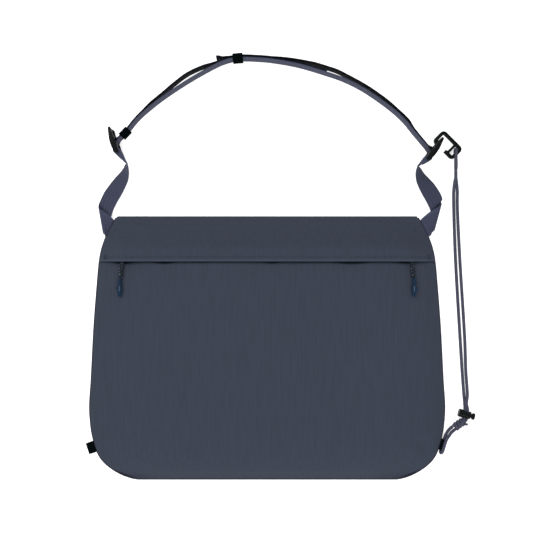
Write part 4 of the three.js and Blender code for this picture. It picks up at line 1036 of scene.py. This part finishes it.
def cloth_material(name, base):
    """Light nylon: fine plain weave, thicker threads both ways, faint unevenness, painted shade and
    highlight.
    """
    material, net, shader = new_material(name, 0.8, 0.12)
    x, y, _ = net.object_axes()
    sizes = bpy.context.scene.musette_sizes
    threads = 1 / sizes.thread_pitch
    weave = net.group("weave", Along=x, Across=y, Threads_Along=threads, Threads_Across=threads)
    uneven = net.group("mottle", Broad_Scale=9.0, Fine_Scale=420.0, Stretch=14.0)
    streak = net.put("MapRange")
    net.feed(streak.inputs["From Min"], 0.35)
    net.feed(streak.inputs["From Max"], 0.65)
    net.feed(streak.inputs["Value"], uneven["Fine"])
    down, over = (net.lines(place, sizes.thick_thread_pitch, 24.0) for place in (x, y))
    grid = net.math("MAXIMUM", down, net.scaled(over, 0.6))
    light = tint(base, 1.07)
    tone = net.mix(streak.outputs[0], tint(base, 0.95), light)
    broad = net.mix(uneven["Broad"], (0.95, 0.95, 0.95), (1.04, 1.04, 1.05))
    tone = net.mix(1.0, tone, broad, "MULTIPLY")
    tone = net.mix(net.scaled(grid, 0.3), tone, light)
    tone = net.mix(net.scaled(weave["Gap"], 0.35), tone, tint(base, 0.5))
    # Painted shade: the front cloth darkens towards near black below the flap's edge, where the flap shades
    # it
    tone = net.mix(net.attribute("crevice"), tone, bpy.context.scene.musette_colours.crevice)
    # Painted highlight along the flap's hem edge, where the fold catches the light
    tone = net.mix(net.attribute("lip"), tone, tint(base, 1.7))
    net.feed(shader.inputs["Roughness"], net.math("MULTIPLY_ADD", uneven["Fine"], 0.16, 0.72))
    net.surface(shader, tone, net.math("ADD", weave["Height"], net.scaled(grid, 0.9)), 0.35, 0.00009)
    return material


def webbing_material(name, base):
    """Woven webbing: chevron ribs along it, firm edges, and painted shade on the tails and loops."""
    material, net, shader = new_material(name, 0.7, 0.06)
    u, along, _ = net.uv_axes("Weave")
    across = net.math("SUBTRACT", u, UV_MIDDLE)
    pitch = bpy.context.scene.musette_sizes.web_rib_pitch
    ribs = net.wave(net.math("ADD", along, net.math("PINGPONG", across, pitch * 2)), pitch)
    weave = net.group("weave", Along=along, Across=across, Threads_Along=1 / (pitch * 0.5),
                      Threads_Across=1 / (pitch * 0.8))
    edge = net.math("GREATER_THAN", net.math("ABSOLUTE", across), WEB_WIDTH * MM * 0.44)
    bands = net.math("POWER", net.wave(across, pitch * 2.6, "COSINE"), 4.0)
    uneven = net.group("mottle", Broad_Scale=30.0, Fine_Scale=1500.0, Stretch=1.0)
    tone = net.mix(ribs, tint(base, 0.72), tint(base, 1.25))
    tone = net.mix(net.scaled(weave["Gap"], 0.4), tone, tint(base, 0.4))
    tone = net.mix(net.scaled(edge, 0.3), tone, tint(base, 1.3))
    tone = net.mix(net.scaled(bands, 0.45), tone, tint(base, 0.5))
    tone = net.mix(net.scaled(uneven["Fine"], 0.2), tone, tint(base, 1.5))
    # Painted shade: tails and loops darken towards the near black of the shade between the strap's layers
    tone = net.mix(net.attribute("shade"), tone, bpy.context.scene.musette_colours.tail)
    net.surface(shader, tone, net.math("ADD", ribs, net.scaled(weave["Height"], 0.6)), 0.6, 0.00018)
    return material


def plastic_material(name, colour, roughness):
    """Satin moulding: fine spark-eroded grain, and paler sharp edges, partly wear and partly painted
    highlight.
    """
    material, net, shader = new_material(name, roughness, 0.07)
    grain = net.group("mottle", Broad_Scale=60.0, Fine_Scale=2600.0, Stretch=1.0)
    wear = net.group("wear", Sharpness=5.0)["Wear"]
    tone = net.mix(grain["Broad"], tint(colour, 0.8), tint(colour, 1.25))
    # Paler sharp edges: partly wear, partly a painted highlight
    tone = net.mix(net.scaled(wear, 0.5), tone, tint(colour, 3, 0.006))
    net.feed(shader.inputs["Roughness"], net.math("MULTIPLY_ADD", grain["Fine"], 0.2, roughness - 0.1))
    net.surface(shader, tone, grain["Fine"], 0.25, 0.00008)
    return material


def braid_material(name, colour, turns, pitch, fleck):
    """Braided or twisted cord: strands that wind both ways round it, with pale flecks."""
    material, net, shader = new_material(name, 0.7, 0.12)
    u, v, _ = net.uv_axes("Braid")
    along, around = net.math("DIVIDE", v, pitch), net.scaled(u, turns)
    waves = [net.wave(net.math(way, along, around), 1.0) for way in ("ADD", "SUBTRACT")]
    height = net.math("MAXIMUM", *waves)
    uneven = net.group("mottle", Broad_Scale=180.0, Fine_Scale=1400.0, Stretch=1.0)
    tone = net.mix(height, tint(colour, 0.45), tint(colour, 1.2))
    spark = net.math("GREATER_THAN", net.scaled(net.scaled(*waves), uneven["Broad"]), 0.33)
    tone = net.mix(net.scaled(spark, 0.7), tone, fleck)
    net.surface(shader, tone, height, 0.8, 0.00025)
    return material


def elastic_material(name, colour, pitch):
    """Ribbed narrow elastic, tape or thread, from the object's own place."""
    material, net, shader = new_material(name, 0.8, 0.0)
    x, y, z = net.object_axes()
    weft = net.math("SINE", net.scaled(net.math("ADD", x, y), 2 * math.pi / (pitch * 1.3)))
    height = net.math("ADD", net.wave(z, pitch), net.scaled(weft, 0.25))
    uneven = net.group("mottle", Broad_Scale=80.0, Fine_Scale=1800.0, Stretch=1.0)
    tone = net.mix(height, tint(colour, 0.6), tint(colour, 1.6))
    tone = net.mix(net.scaled(uneven["Fine"], 0.3), tone, tint(colour, 2.2))
    net.surface(shader, tone, height, 0.6, 0.00015)
    return material


# Finish, its maker and what the maker is given after the name; a colour is given by its name
FINISHES = {
    "Bag cloth": (cloth_material, "cloth"),
    "Strap webbing": (webbing_material, "webbing"),
    "Black elastic": (elastic_material, "elastic", 0.0009),
    "Zip tape": (elastic_material, "elastic", 0.0006),
    "Sewing thread": (elastic_material, "thread", 0.0004),
    "Seam binding": (elastic_material, "binding", 0.0008),
    "Black moulding": (plastic_material, "plastic", 0.34),
    "Blue moulding": (plastic_material, "pull_end", 0.5),
    # Painted highlight: the pale ridge along the top of the pull ends
    "Pale moulding": (plastic_material, "pull_tip", 0.5),
    "Pull cord": (braid_material, "pull_cord", 1.0, 0.0042, "pull_fleck"),
    "Stabiliser cord": (braid_material, "cord", 4.0, 0.0022, "cord_fleck"),
}


def finish(name):
    """The material of that name, made when it is first asked for."""
    if name not in MADE:
        maker, *values = FINISHES[name]
        colours = bpy.context.scene.musette_colours
        values = [tuple(getattr(colours, value)) if isinstance(value, str) else value for value in values]
        MADE[name] = maker(name, *values)
    return MADE[name]


def seat(piece, slot, *nodes, body=BODY):
    """Rides the piece on its body and hides the nodes that it stands for; its slot is not used."""
    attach(piece, body)
    if nodes:
        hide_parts(*nodes)
    return piece


# The bag's cloth


def wrinkles(x, y, rows):
    """Fine unevenness from rows of stretch across and down, size, height and seed."""
    total = 0.0
    for across, down, size, amount, seed in rows:
        place = Vector((x * across / size + seed, y * down / size - seed, seed * WRINKLE_LEVEL))
        total += amount * noise.noise(place)
    return total


def gather(x, y):
    """The front cloth dips at each gather under the flap's edge and fades out below it."""
    below = BAG_HEIGHT / 2 - FLAP_DEPTH - y
    if below < -FLAP_OVERLAP - GATHER_MARGIN:
        return 0.0
    fade = bell(max(below, 0), 0, GATHER_FADE) * smooth_step(-below, *GATHER_END)
    total = sum(dip * bell(x, share * BAG_WIDTH, width) for share, width, dip in GATHERS)
    place, width, depth = GROOVE
    return -total * fade - depth * bell(below, place, width)


def crevice(x, y):
    """How much painted shade darkens the front cloth below the flap's edge, 0 to 1."""
    below = BAG_HEIGHT / 2 - FLAP_DEPTH - y
    if below <= 0:
        return 1.0
    dark = SHADE_LINE * bell(below, 0, 1.0)
    for share, width, dip in GATHERS:
        reach = SHADE_REACH * dip * bell(x, share * BAG_WIDTH, width)
        dark = max(dark, clamp(SHADE_SLOPE * (reach - below)))
    return clamp(dark) * smooth_step(-below, -SHADE_END, 0.0)


def lip(_, y):
    """How much painted highlight the flap gets along the very edge of its hem, where its fold catches the
    light.
    """
    place, width, highlight_strength = HEM_HIGHLIGHT
    return highlight_strength * bell(y - BAG_HEIGHT / 2 + FLAP_DEPTH, place, width)


def front_top(x, y):
    depth = BAG_HEIGHT / 2 - y
    edge = smooth_step(half_width(depth) - abs(x), 0, FRONT_SIDE_FADE)
    low = smooth_step(BAG_HEIGHT - depth, 0, FRONT_LOW_FADE)
    relief = gather(x, y) + wrinkles(x, y, FRONT_WRINKLES)
    return front_underside(x, y) + CLOTH + relief * edge * low


def flap_top(x, y):
    depth = BAG_HEIGHT / 2 - y
    relief = sum(rise * bell(depth, place, width) for place, width, rise in FLAP_CREASES)
    relief += HEM_RISE * smooth_step(depth, *HEM_EDGE)
    relief += HEM_WAVE * math.sin(x / HEM_WAVE_LENGTH) * smooth_step(depth, *HEM_WAVE_RUN)
    relief += wrinkles(x, y, FLAP_WRINKLES) * smooth_step(depth, *FLAP_TOP_FADE)
    edge = smooth_step(half_width(depth) - abs(x), 0, FLAP_SIDE_FADE)
    return flap_underside(x, y) + CLOTH + relief * edge


# Piece, node, its depths, columns and rows, height, crowding of the rows, side that its
# thickness goes to, and an attribute of painted light: shade on the front, highlight on the flap
CLOTHS = [
    ("back_cloth", "back_panel", (EDGE_MARGIN, CLOTH_END), (90, 70), back_bottom, 1.0, 1, None),
    ("front_cloth", "front_panel", (FRONT_DEPTH, CLOTH_END), (190, 150), front_top, 0.62, -1, crevice),
    ("flap_cloth", "flap_panel", (EDGE_MARGIN, FLAP_DEPTH), (220, 60), flap_top, 1.0, -1, lip),
]


def lay_cloth(name, node, depths, counts, height, crowding, side, look):
    """A grid primitive laid over part of the bag's outline at its height, with its thickness."""
    deselect()
    bpy.ops.mesh.primitive_grid_add(x_subdivisions=counts[0], y_subdivisions=counts[1], size=2)
    piece = bpy.context.view_layer.objects.active
    piece.name = name
    piece.data.name = name
    for vertex in piece.data.vertices:
        share = math.sin(vertex.co.x * math.pi / 2)
        down = (1 - vertex.co.y) / 2
        depth = depths[0] + (depths[1] - depths[0]) * (1 - (1 - down) ** crowding)
        x, y = share * half_width(depth), BAG_HEIGHT / 2 - depth
        vertex.co = Vector((x, y, height(x, y))) * MM
    piece.data.polygons.foreach_set("use_smooth", [True] * len(piece.data.polygons))
    piece.data.materials.append(finish("Bag cloth"))
    # The look attribute carries painted light into the cloth's colour
    if look:
        tone = piece.data.attributes.new(look.__name__, "FLOAT", "POINT")
        for vertex in piece.data.vertices:
            tone.data[vertex.index].value = look(vertex.co.x / MM, vertex.co.y / MM)
    wall = piece.modifiers.new("Cloth thickness", "SOLIDIFY")
    wall.thickness = CLOTH * MM
    wall.offset = side
    wall.use_even_offset = False
    apply_modifiers(piece)
    outward_normals(piece)
    seat(piece, "shell_cloth", node)


def seam_line():
    """Points down one side's seam, along the bottom and up the other side."""
    height = SEAM_HEIGHT + BINDING_OUT
    right = []
    depth = BINDING_START
    while depth < BAG_HEIGHT:
        point, outward = seam_point(1, min(depth, CLOTH_END))
        right.append(Vector((point.x, point.y, height)) + outward * BINDING_OUT)
        closer = smooth_step(depth, BAG_HEIGHT - BINDING_CORNER, BAG_HEIGHT)
        depth += BINDING_STEP * (1 - BINDING_CROWDING * closer)
    half = half_width(BAG_HEIGHT)
    bottom = []
    for k in range(BOTTOM_STEPS + 1):
        x = half * (1 - 2 * k / BOTTOM_STEPS)
        bottom.append(Vector((x, -BAG_HEIGHT / 2 - BINDING_OUT, height)))
    left = [Vector((-point.x, point.y, point.z)) for point in right[::-1]]
    return right + bottom + left


def on_flap(x, depth):
    """A point just above the flap's cloth."""
    y = BAG_HEIGHT / 2 - depth
    return Vector((x, y, flap_top(x, y) + STITCH_RISE))


# Sizes, colours and lights that an operator reads


def length_property(name, description, default, lowest):
    return bpy.props.FloatProperty(name=name, description=description, default=default, min=lowest,
                                   subtype="DISTANCE", unit="LENGTH")


def power_property(name, description, default):
    return bpy.props.FloatProperty(name=name, description=description, default=default, min=0.0,
                                   subtype="POWER", unit="POWER")


def colour_property(name, description, default):
    return bpy.props.FloatVectorProperty(name=name, description=description, default=default, size=3,
                                         min=0.0, max=1.0, subtype="COLOR")


class MusetteSizes(bpy.types.PropertyGroup):
    """Sizes of the finish that the CAD model leaves open."""

    thread_pitch: length_property("Thread pitch", "Distance between the cloth's fine threads", 0.0005, 0.0002)
    thick_thread_pitch: length_property(
        "Thick thread pitch", "Distance between the cloth's thicker threads", 0.006, 0.001)
    web_rib_pitch: length_property(
        "Webbing rib pitch", "Distance between the ribs of the webbing", 0.0016, 0.0005)
    cord_radius: length_property("Cord radius", "Radius of the stabiliser cord", 0.00175, 0.001)
    stitch_length: length_property("Stitch length", "Length of one stitch of the seams", 0.0026, 0.001)


class MusetteColours(bpy.types.PropertyGroup):
    """Base colours, in scene linear values."""

    cloth: colour_property("Cloth", "Slate nylon of the bag", (0.034, 0.041, 0.060))
    # Painted shade: the colour that the front cloth darkens to below the flap's edge
    crevice: colour_property("Crevice", "Cloth deep under the flap's edge", (0.004, 0.008, 0.013))
    webbing: colour_property("Webbing", "Strap and side webbing", (0.045, 0.050, 0.082))
    # Painted shade: the near black of the shade between the strap's layers, not a darker webbing
    tail: colour_property("Webbing tails", "Darker outer face of the strap's tails", (0.0035, 0.0055, 0.010))
    elastic: colour_property("Elastic", "Black elastic and tape", (0.0012, 0.0022, 0.0024))
    plastic: colour_property("Plastic", "Black mouldings", (0.0016, 0.0026, 0.0027))
    pull_end: colour_property("Pull ends", "Blue moulded ends of the pulls", (0.006, 0.018, 0.038))
    # Painted highlight: pale colour of the ridge along the top of the pull ends
    pull_tip: colour_property("Pull tip", "Pale line on the pull ends", (0.040, 0.052, 0.088))
    pull_cord: colour_property("Pull cord", "Dark twisted cord of the pulls", (0.012, 0.016, 0.024))
    pull_fleck: colour_property("Pull cord flecks", "Pale strands of the pull cord", (0.10, 0.14, 0.17))
    cord: colour_property("Cord", "Grey lilac stabiliser cord", (0.046, 0.049, 0.076))
    cord_fleck: colour_property("Cord flecks", "Pale strands of the cord", (0.13, 0.13, 0.17))
    thread: colour_property("Thread", "Sewing thread", (0.028, 0.035, 0.050))
    binding: colour_property("Binding", "Bound edge of the seam", (0.026, 0.024, 0.038))


class MusetteStage(bpy.types.PropertyGroup):
    """The studio round the bag."""

    surround: bpy.props.FloatProperty(
        name="Surround", description="Brightness of the white studio all round", default=0.8, min=0.0)
    front_light: power_property(
        "Front light", "Power of the large light beyond the bag's lower edge", 9.0)
    top_light: power_property("Top light", "Power of the large light above", 10.0)
    floor_glow: bpy.props.FloatProperty(
        name="Floor glow", description="Brightness of the lit table that the bag lies on",
        default=0.6, min=0.0)
    lens: bpy.props.FloatProperty(
        name="Lens", description="Focal length of the camera in millimetres", default=61.4, min=10.0)


def area_light(name, place, target, size, power):
    data = bpy.data.lights.new(name, "AREA")
    data.shape = "DISK"
    data.size = size
    data.energy = power
    lamp = bpy.data.objects.new(name, data)
    bpy.context.collection.objects.link(lamp)
    lamp.location = place
    lamp.rotation_euler = (Vector(target) - Vector(place)).to_track_quat("-Z", "Y").to_euler()


class MUSETTE_OT_stage(bpy.types.Operator):
    """Places the camera, the white floor and the soft studio lights"""

    bl_idname = "musette.stage"
    bl_label = "Stage"

    def execute(self, context):
        facts = context.scene.musette_stage
        camera = bpy.data.objects.new("Camera", bpy.data.cameras.new("Camera"))
        context.collection.objects.link(camera)
        camera.location = (VIEW_MIDDLE[0] * MM, VIEW_MIDDLE[1] * MM, VIEW_DISTANCE * MM)
        camera.data.lens = facts.lens
        camera.data.sensor_width = SENSOR
        context.scene.camera = camera
        deselect()
        bpy.ops.mesh.primitive_plane_add(size=FLOOR_SIZE, location=(0, 0, 0))
        floor = context.view_layer.objects.active
        floor.name = "Floor"
        material, net, shader = new_material("White floor", 0.9, 0.1)
        net.feed(shader.inputs["Base Color"], FLOOR_COLOUR)
        net.feed(shader.inputs["Emission Color"], WHITE)
        net.feed(shader.inputs["Emission Strength"], facts.floor_glow)
        floor.data.materials.append(material)
        world = bpy.data.worlds.new("Studio")
        world.use_nodes = True
        background = world.node_tree.nodes["Background"]
        background.inputs["Color"].default_value = (*WHITE, 1)
        background.inputs["Strength"].default_value = facts.surround
        context.scene.world = world
        for (name, place, target, size), power in zip(LIGHTS, (facts.front_light, facts.top_light)):
            area_light(name, place, target, size, power)
        context.scene.view_settings.view_transform = "Standard"
        return {"FINISHED"}


def lay_cord(name, route, material, radius, node):
    points = smooth_line([Vector(p) for p in route], CORD_STEP)
    piece = tube_mesh(name, points, radius / MM, CORD_SIDES, material)
    seat(piece, "cord_braid", node)


class MUSETTE_OT_cords(bpy.types.Operator):
    """Lays the two loops of the stabiliser cord along the routes of their solids"""

    bl_idname = "musette.cords"
    bl_label = "Stabiliser cord"

    def execute(self, context):
        radius = context.scene.musette_sizes.cord_radius
        lay_cord("cord_upper_braid", CORD_UPPER_ROUTE, finish("Stabiliser cord"), radius, "cord_upper")
        lay_cord("cord_lower_braid", CORD_LOWER_ROUTE, finish("Stabiliser cord"), radius, "cord_lower")
        return {"FINISHED"}


def knot_place(along, across, up):
    """A point of the knot's own frame: along it, across it and up from its middle."""
    turn = Matrix.Rotation(math.radians(KNOT_TURN), 4, "Z")
    return Vector(KNOT_MIDDLE) + turn @ Vector((along, across, up))


def knot_turns(radius, wind):
    """The winding's points; it is drawn in at both ends and each turn slants."""
    turns = []
    for k in range(KNOT_STEPS + 1):
        share = k / KNOT_STEPS
        angle = 2 * math.pi * KNOT_TURNS * share + KNOT_START
        along = (share - 0.5) * (KNOT_LENGTH - KNOT_INSET * radius)
        tight = wind * (1 - KNOT_TAPER * (2 * share - 1) ** 4)
        slant = KNOT_SLANT * math.cos(angle - KNOT_SLANT_TURN)
        turns.append(knot_place(along + slant, tight * math.cos(angle), tight * math.sin(angle)))
    return turns


def knot_crossing(reach):
    """The strand that crosses over the winding."""
    points = []
    for k in range(CROSSING_STEPS + 1):
        share = k / CROSSING_STEPS
        angle = CROSSING_START - CROSSING_TURN * share
        along = (share - 0.5) * KNOT_LENGTH * CROSSING_LENGTH
        points.append(knot_place(along, reach * math.cos(angle), reach * math.sin(angle)))
    return points


class MUSETTE_OT_knot(bpy.types.Operator):
    """Winds the knot's turns and leaves its trimmed end"""

    bl_idname = "musette.knot"
    bl_label = "Knot"

    def execute(self, context):
        radius = context.scene.musette_sizes.cord_radius / MM
        wind = KNOT_DIAMETER / 2 - radius + CLEARANCE
        cord = finish("Stabiliser cord")
        parts = [tube_mesh("winding", knot_turns(radius, wind), radius, KNOT_SIDES, cord)]
        crossing = knot_crossing(wind + CROSSING_RISE)
        parts.append(tube_mesh("crossing", crossing, radius * CROSSING_THIN, KNOT_SIDES, cord))
        heading = math.radians(KNOT_TURN + KNOT_END_TURN)
        reach = Vector((math.cos(heading), math.sin(heading), KNOT_END_FALL))
        steps = len(KNOT_END_RADII) - 1
        stub = [Vector(KNOT_MIDDLE) + reach * (KNOT_END_LENGTH * k / steps) for k in range(steps + 1)]
        parts.append(tube_mesh("stub", stub, KNOT_END_DIAMETER / 2, KNOT_SIDES, cord, KNOT_END_RADII))
        core = [knot_place(along, 0, 0) for along in KNOT_CORE]
        parts.append(tube_mesh("core", core, KNOT_CORE_RADIUS, 12, cord))
        for run in KNOT_STRANDS:
            points = smooth_line([Vector(point) for point in run], 1.0)
            parts.append(tube_mesh("strand", points, radius * KNOT_STRAND_THIN, KNOT_SIDES, cord))
        seat(joined("knot", parts), "cord_braid", "cord_knot")
        return {"FINISHED"}


class MUSETTE_OT_cloth(bpy.types.Operator):
    """Lays the back, front and flap cloths and binds their seam"""

    bl_idname = "musette.cloth"
    bl_label = "Bag cloth"

    def execute(self, context):
        for row in CLOTHS:
            lay_cloth(*row)
        bead = tube_mesh("seam_binding", seam_line(), BINDING_RADIUS, 10, finish("Seam binding"))
        seat(bead, "shell_cloth")
        return {"FINISHED"}


class MUSETTE_OT_stitches(bpy.types.Operator):
    """Sews the flap's hem and the bar tacks at its ends"""

    bl_idname = "musette.stitches"
    bl_label = "Stitches"

    def execute(self, context):
        hem_depth = FLAP_DEPTH - HEM_STITCH
        half = half_width(hem_depth) - HEM_INSET
        runs = [[on_flap(-half + 2 * half * k / HEM_STEPS, hem_depth) for k in range(HEM_STEPS + 1)]]
        for sign in (-1, 1):
            for place in TACK_PLACES:
                run = []
                for k in range(TACK_STEPS + 1):
                    depth = FLAP_DEPTH - TACK_START + TACK_LENGTH * k / TACK_STEPS
                    run.append(on_flap(sign * (half_width(depth) - place), depth))
                runs.append(run)
        length = context.scene.musette_sizes.stitch_length / MM
        hem = stitch_rows("flap_stitches", runs, length, finish("Sewing thread"))
        seat(hem, "shell_cloth")
        return {"FINISHED"}


def web_piece(name, stations, thicks, *nodes, shades=None):
    shades = shades or [0.0] * len(stations)
    seat(web_mesh(name, stations, finish("Strap webbing"), shades, thicks), "webbing", *nodes)


def raise_stations(stations):
    """Lifts each station whose lowest edge would sink into the floor."""
    middles = [middle.copy() for middle, _, _ in stations]
    for k, station in enumerate(stations):
        normal = tangent_at(middles, k).cross(station[1])
        lowest = (abs(station[1].z) * station[2] + abs(normal.z) * WEB_THICK) / 2 + FLOOR_GAP
        station[0].z = max(station[0].z, lowest)


def ease_climb(stations):
    """Spreads the webbing's climb off the floor over the run before its pinch."""
    top = WEB_WIDTH / 2 + WEB_LIFT - WEB_PINCH_DROP
    pinch = next(k for k, station in enumerate(stations) if station[0].z > top - CLEARANCE)
    climb = stations[pinch][0].z - stations[pinch - 1][0].z
    run = 0.0
    for k in range(pinch - 1, 0, -1):
        run += (stations[k + 1][0] - stations[k][0]).xy.length
        stations[k][0].z += climb * smooth_step(-run, -CLIMB_RUN, 0)


def sewn_end(side):
    """The wedge where the two layers of a side webbing are sewn together next to the buckle."""
    pinch = pinch_point(side)
    bar = buckle_place(side, ANCHOR_BAR_PLACE, BAR_OFFSET)
    away = (bar - pinch).normalized()
    reach = (bar - pinch).length - LOOP_RADIUS
    thin, thicker = SEWN_THICK
    stations, thicks = [], []
    for k in range(SEWN_STEPS + 1):
        share = k / SEWN_STEPS
        point = pinch + away * (SEWN_START + (reach - SEWN_START) * share)
        point.z = WEB_WIDTH / 2 + WEB_LIFT
        stations.append([point, Vector((0, 0, -1)), WEB_WIDTH - SEWN_INSET])
        thicks.append(thin + thicker * share)
    web_piece(f"sewn_end_{side}", stations, thicks)


class MUSETTE_OT_webbing(bpy.types.Operator):
    """Weaves the side webbings and the shoulder strap along the paths of their solids"""

    bl_idname = "musette.webbing"
    bl_label = "Webbing"

    def execute(self, context):
        for side in SIDES:
            stations = smooth_widths(side_web_stations(side, SIDE_WEB_STEP), 2)
            raise_stations(stations)
            ease_climb(stations)
            thicks = [1 + PINCH_THICKER * smooth_step(station[0].z, *PINCH_CLIMB) for station in stations]
            web_piece(f"side_webbing_{side}", stations, thicks, f"side_web_{side}")
            sewn_end(side)
        stations, shades = strap_stations(STRAP_STEP)
        lengths = lengths_along([station[0] for station in stations])
        ends = [HEM_LENGTH - min(at, lengths[-1] - at) for at in lengths]
        thicks = [1 + HEM_THICKER * smooth_step(end, 0, 1.0) for end in ends]
        web_piece("strap_webbing", stations, thicks, "shoulder_strap", shades=shades)
        return {"FINISHED"}


class MUSETTE_OT_mouldings(bpy.types.Operator):
    """Rounds the edges of the buckles, hook, cord lock, keepers and tabs"""

    bl_idname = "musette.mouldings"
    bl_label = "Mouldings and keepers"

    def execute(self, context):
        for node, name, look, slot, edge, body in SOFTENED:
            seat(softened_copy(node, name, finish(look), edge), slot, node, body=body)
        return {"FINISHED"}


def ring_middles(source):
    """Middles of a pull cord's rings, in millimetres, from its top end down."""
    rounded = {}
    for vertex in source.data.vertices:
        rounded[tuple(round(c, 7) for c in vertex.co)] = vertex.co / MM
    points = sorted(rounded.values(), key=lambda p: -p.y)
    count = max(2, round(len(points) / PULL_CORD_RING))
    size = len(points) / count
    middles = []
    for k in range(count):
        group = points[round(k * size):round((k + 1) * size)]
        middles.append(sum(group, Vector()) / len(group))
    return middles


def pull_strand(line, strand):
    """One strand's points, wound round the middle line of a pull cord."""
    points = []
    wide_reach, high_reach = PULL_STRAND_REACH
    for k, length in enumerate(lengths_along(line)):
        tangent = tangent_at(line, k)
        wide = tangent.cross(Vector((0, 0, 1))).normalized()
        up = wide.cross(tangent)
        angle = 2 * math.pi * (length / PULL_TWIST + strand / PULL_STRANDS)
        sideways = wide * (wide_reach * math.cos(angle))
        points.append(line[k] + sideways + up * (high_reach * math.sin(angle)))
    return points


def flared_end(side):
    """The moulded end of a pull: a neck, a flare, a narrow tip and a ridge along its top, pale as a painted
    highlight.
    """
    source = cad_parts[f"pull_end_{side}"]
    points = sorted((v.co / MM for v in source.data.vertices), key=lambda p: -p.y)
    count = len(points) // PULL_END_RINGS
    first = sum(points[:count], Vector()) / count
    last = sum(points[-count:], Vector()) / count
    axis = (last - first).normalized()
    wide = axis.cross(Vector((0, 0, 1))).normalized()
    up = wide.cross(axis)
    radius = PULL_END_DIAMETER / 2
    outward = -SIDES[side]["sign"]
    vertices = []
    for share, width, height in PULL_END_ROWS:
        shift = wide * (outward * FLARE_SHIFT * max(0, width - FLARE_FROM))
        middle = first + shift + axis * (share * PULL_END_LENGTH)
        for k in range(PULL_END_SIDES):
            angle = 2 * math.pi * k / PULL_END_SIDES
            round_x, round_y = math.cos(angle), math.sin(angle)
            square = max(abs(round_x), abs(round_y)) ** -PULL_END_SQUARENESS
            sideways = wide * (round_x * square * width * radius)
            vertices.append(middle + sideways + up * (round_y * square * height * radius))
    count = len(PULL_END_ROWS)
    faces = ring_faces(count, PULL_END_SIDES) + end_faces(count, PULL_END_SIDES)
    body = new_object(f"moulded_pull_end_{side}", vertices, faces, finish("Blue moulding"))
    outward_normals(body)
    rounder = body.modifiers.new("Rounded edges", "SUBSURF")
    rounder.levels = 1
    rounder.render_levels = 1
    apply_modifiers(body)
    # A pale ridge that paints the highlight along the end's top
    rise = up * (RIDGE_RISE * radius)
    ridge_points = [first + axis * (PULL_END_LENGTH * share) + rise for share in RIDGE_SHARES]
    ridge = tube_mesh("ridge", ridge_points, RIDGE_RADIUS, 8, finish("Pale moulding"))
    return joined(f"moulded_pull_end_{side}", [body, ridge])


class MUSETTE_OT_pulls(bpy.types.Operator):
    """Twists the pull cords and turns the moulded ends"""

    bl_idname = "musette.pulls"
    bl_label = "Zip pulls"

    def execute(self, context):
        cord = finish("Pull cord")
        for side in SIDES:
            line = smooth_line(ring_middles(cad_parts[f"pull_cord_{side}"]), PULL_STEP)
            strands = []
            for k in range(PULL_STRANDS):
                strand = pull_strand(line, k)
                strands.append(tube_mesh(f"strand_{k}", strand, PULL_STRAND_RADIUS, 10, cord))
            seat(joined(f"twisted_pull_cord_{side}", strands), "pull_cord", f"pull_cord_{side}")
            seat(flared_end(side), "pull_plastic", f"pull_end_{side}")
        return {"FINISHED"}


class MUSETTE_OT_zip(bpy.types.Operator):
    """Gives the zip under the flap its finish"""

    bl_idname = "musette.zip"
    bl_label = "Zip"

    def execute(self, context):
        for node, look in ZIP_FINISHES.items():
            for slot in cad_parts[node].material_slots:
                slot.material = finish(look)
        return {"FINISHED"}


class MUSETTE_PT_panel(bpy.types.Panel):
    """Sizes, colours and lights of the musette, and its pieces one by one"""

    bl_idname = "MUSETTE_PT_panel"
    bl_label = "Cycling musette bag"
    bl_space_type = "VIEW_3D"
    bl_region_type = "UI"
    bl_category = "Musette"

    def draw(self, context):
        layout = self.layout
        scene = context.scene
        for group in (scene.musette_sizes, scene.musette_colours, scene.musette_stage):
            box = layout.box()
            for name in group.bl_rna.properties.keys():
                if name not in ("rna_type", "name"):
                    box.prop(group, name)
        for step in STEPS:
            layout.operator(step.bl_idname)


STEPS = (MUSETTE_OT_stage, MUSETTE_OT_cords, MUSETTE_OT_webbing, MUSETTE_OT_cloth, MUSETTE_OT_stitches,
         MUSETTE_OT_zip, MUSETTE_OT_pulls, MUSETTE_OT_mouldings, MUSETTE_OT_knot)
GROUP_CLASSES = (MusetteSizes, MusetteColours, MusetteStage)


def register():
    for cls in GROUP_CLASSES + STEPS + (MUSETTE_PT_panel,):
        bpy.utils.register_class(cls)
    bpy.types.Scene.musette_sizes = bpy.props.PointerProperty(type=MusetteSizes)
    bpy.types.Scene.musette_colours = bpy.props.PointerProperty(type=MusetteColours)
    bpy.types.Scene.musette_stage = bpy.props.PointerProperty(type=MusetteStage)


def unregister():
    del bpy.types.Scene.musette_sizes
    del bpy.types.Scene.musette_colours
    del bpy.types.Scene.musette_stage
    for cls in (MUSETTE_PT_panel,) + STEPS[::-1] + GROUP_CLASSES[::-1]:
        bpy.utils.unregister_class(cls)


def main():
    register()
    for step in STEPS:
        group, name = step.bl_idname.split(".")
        if getattr(getattr(bpy.ops, group), name)() != {"FINISHED"}:
            raise RuntimeError(f"{step.bl_label} did not finish")


if __name__ == "__main__":
    main()
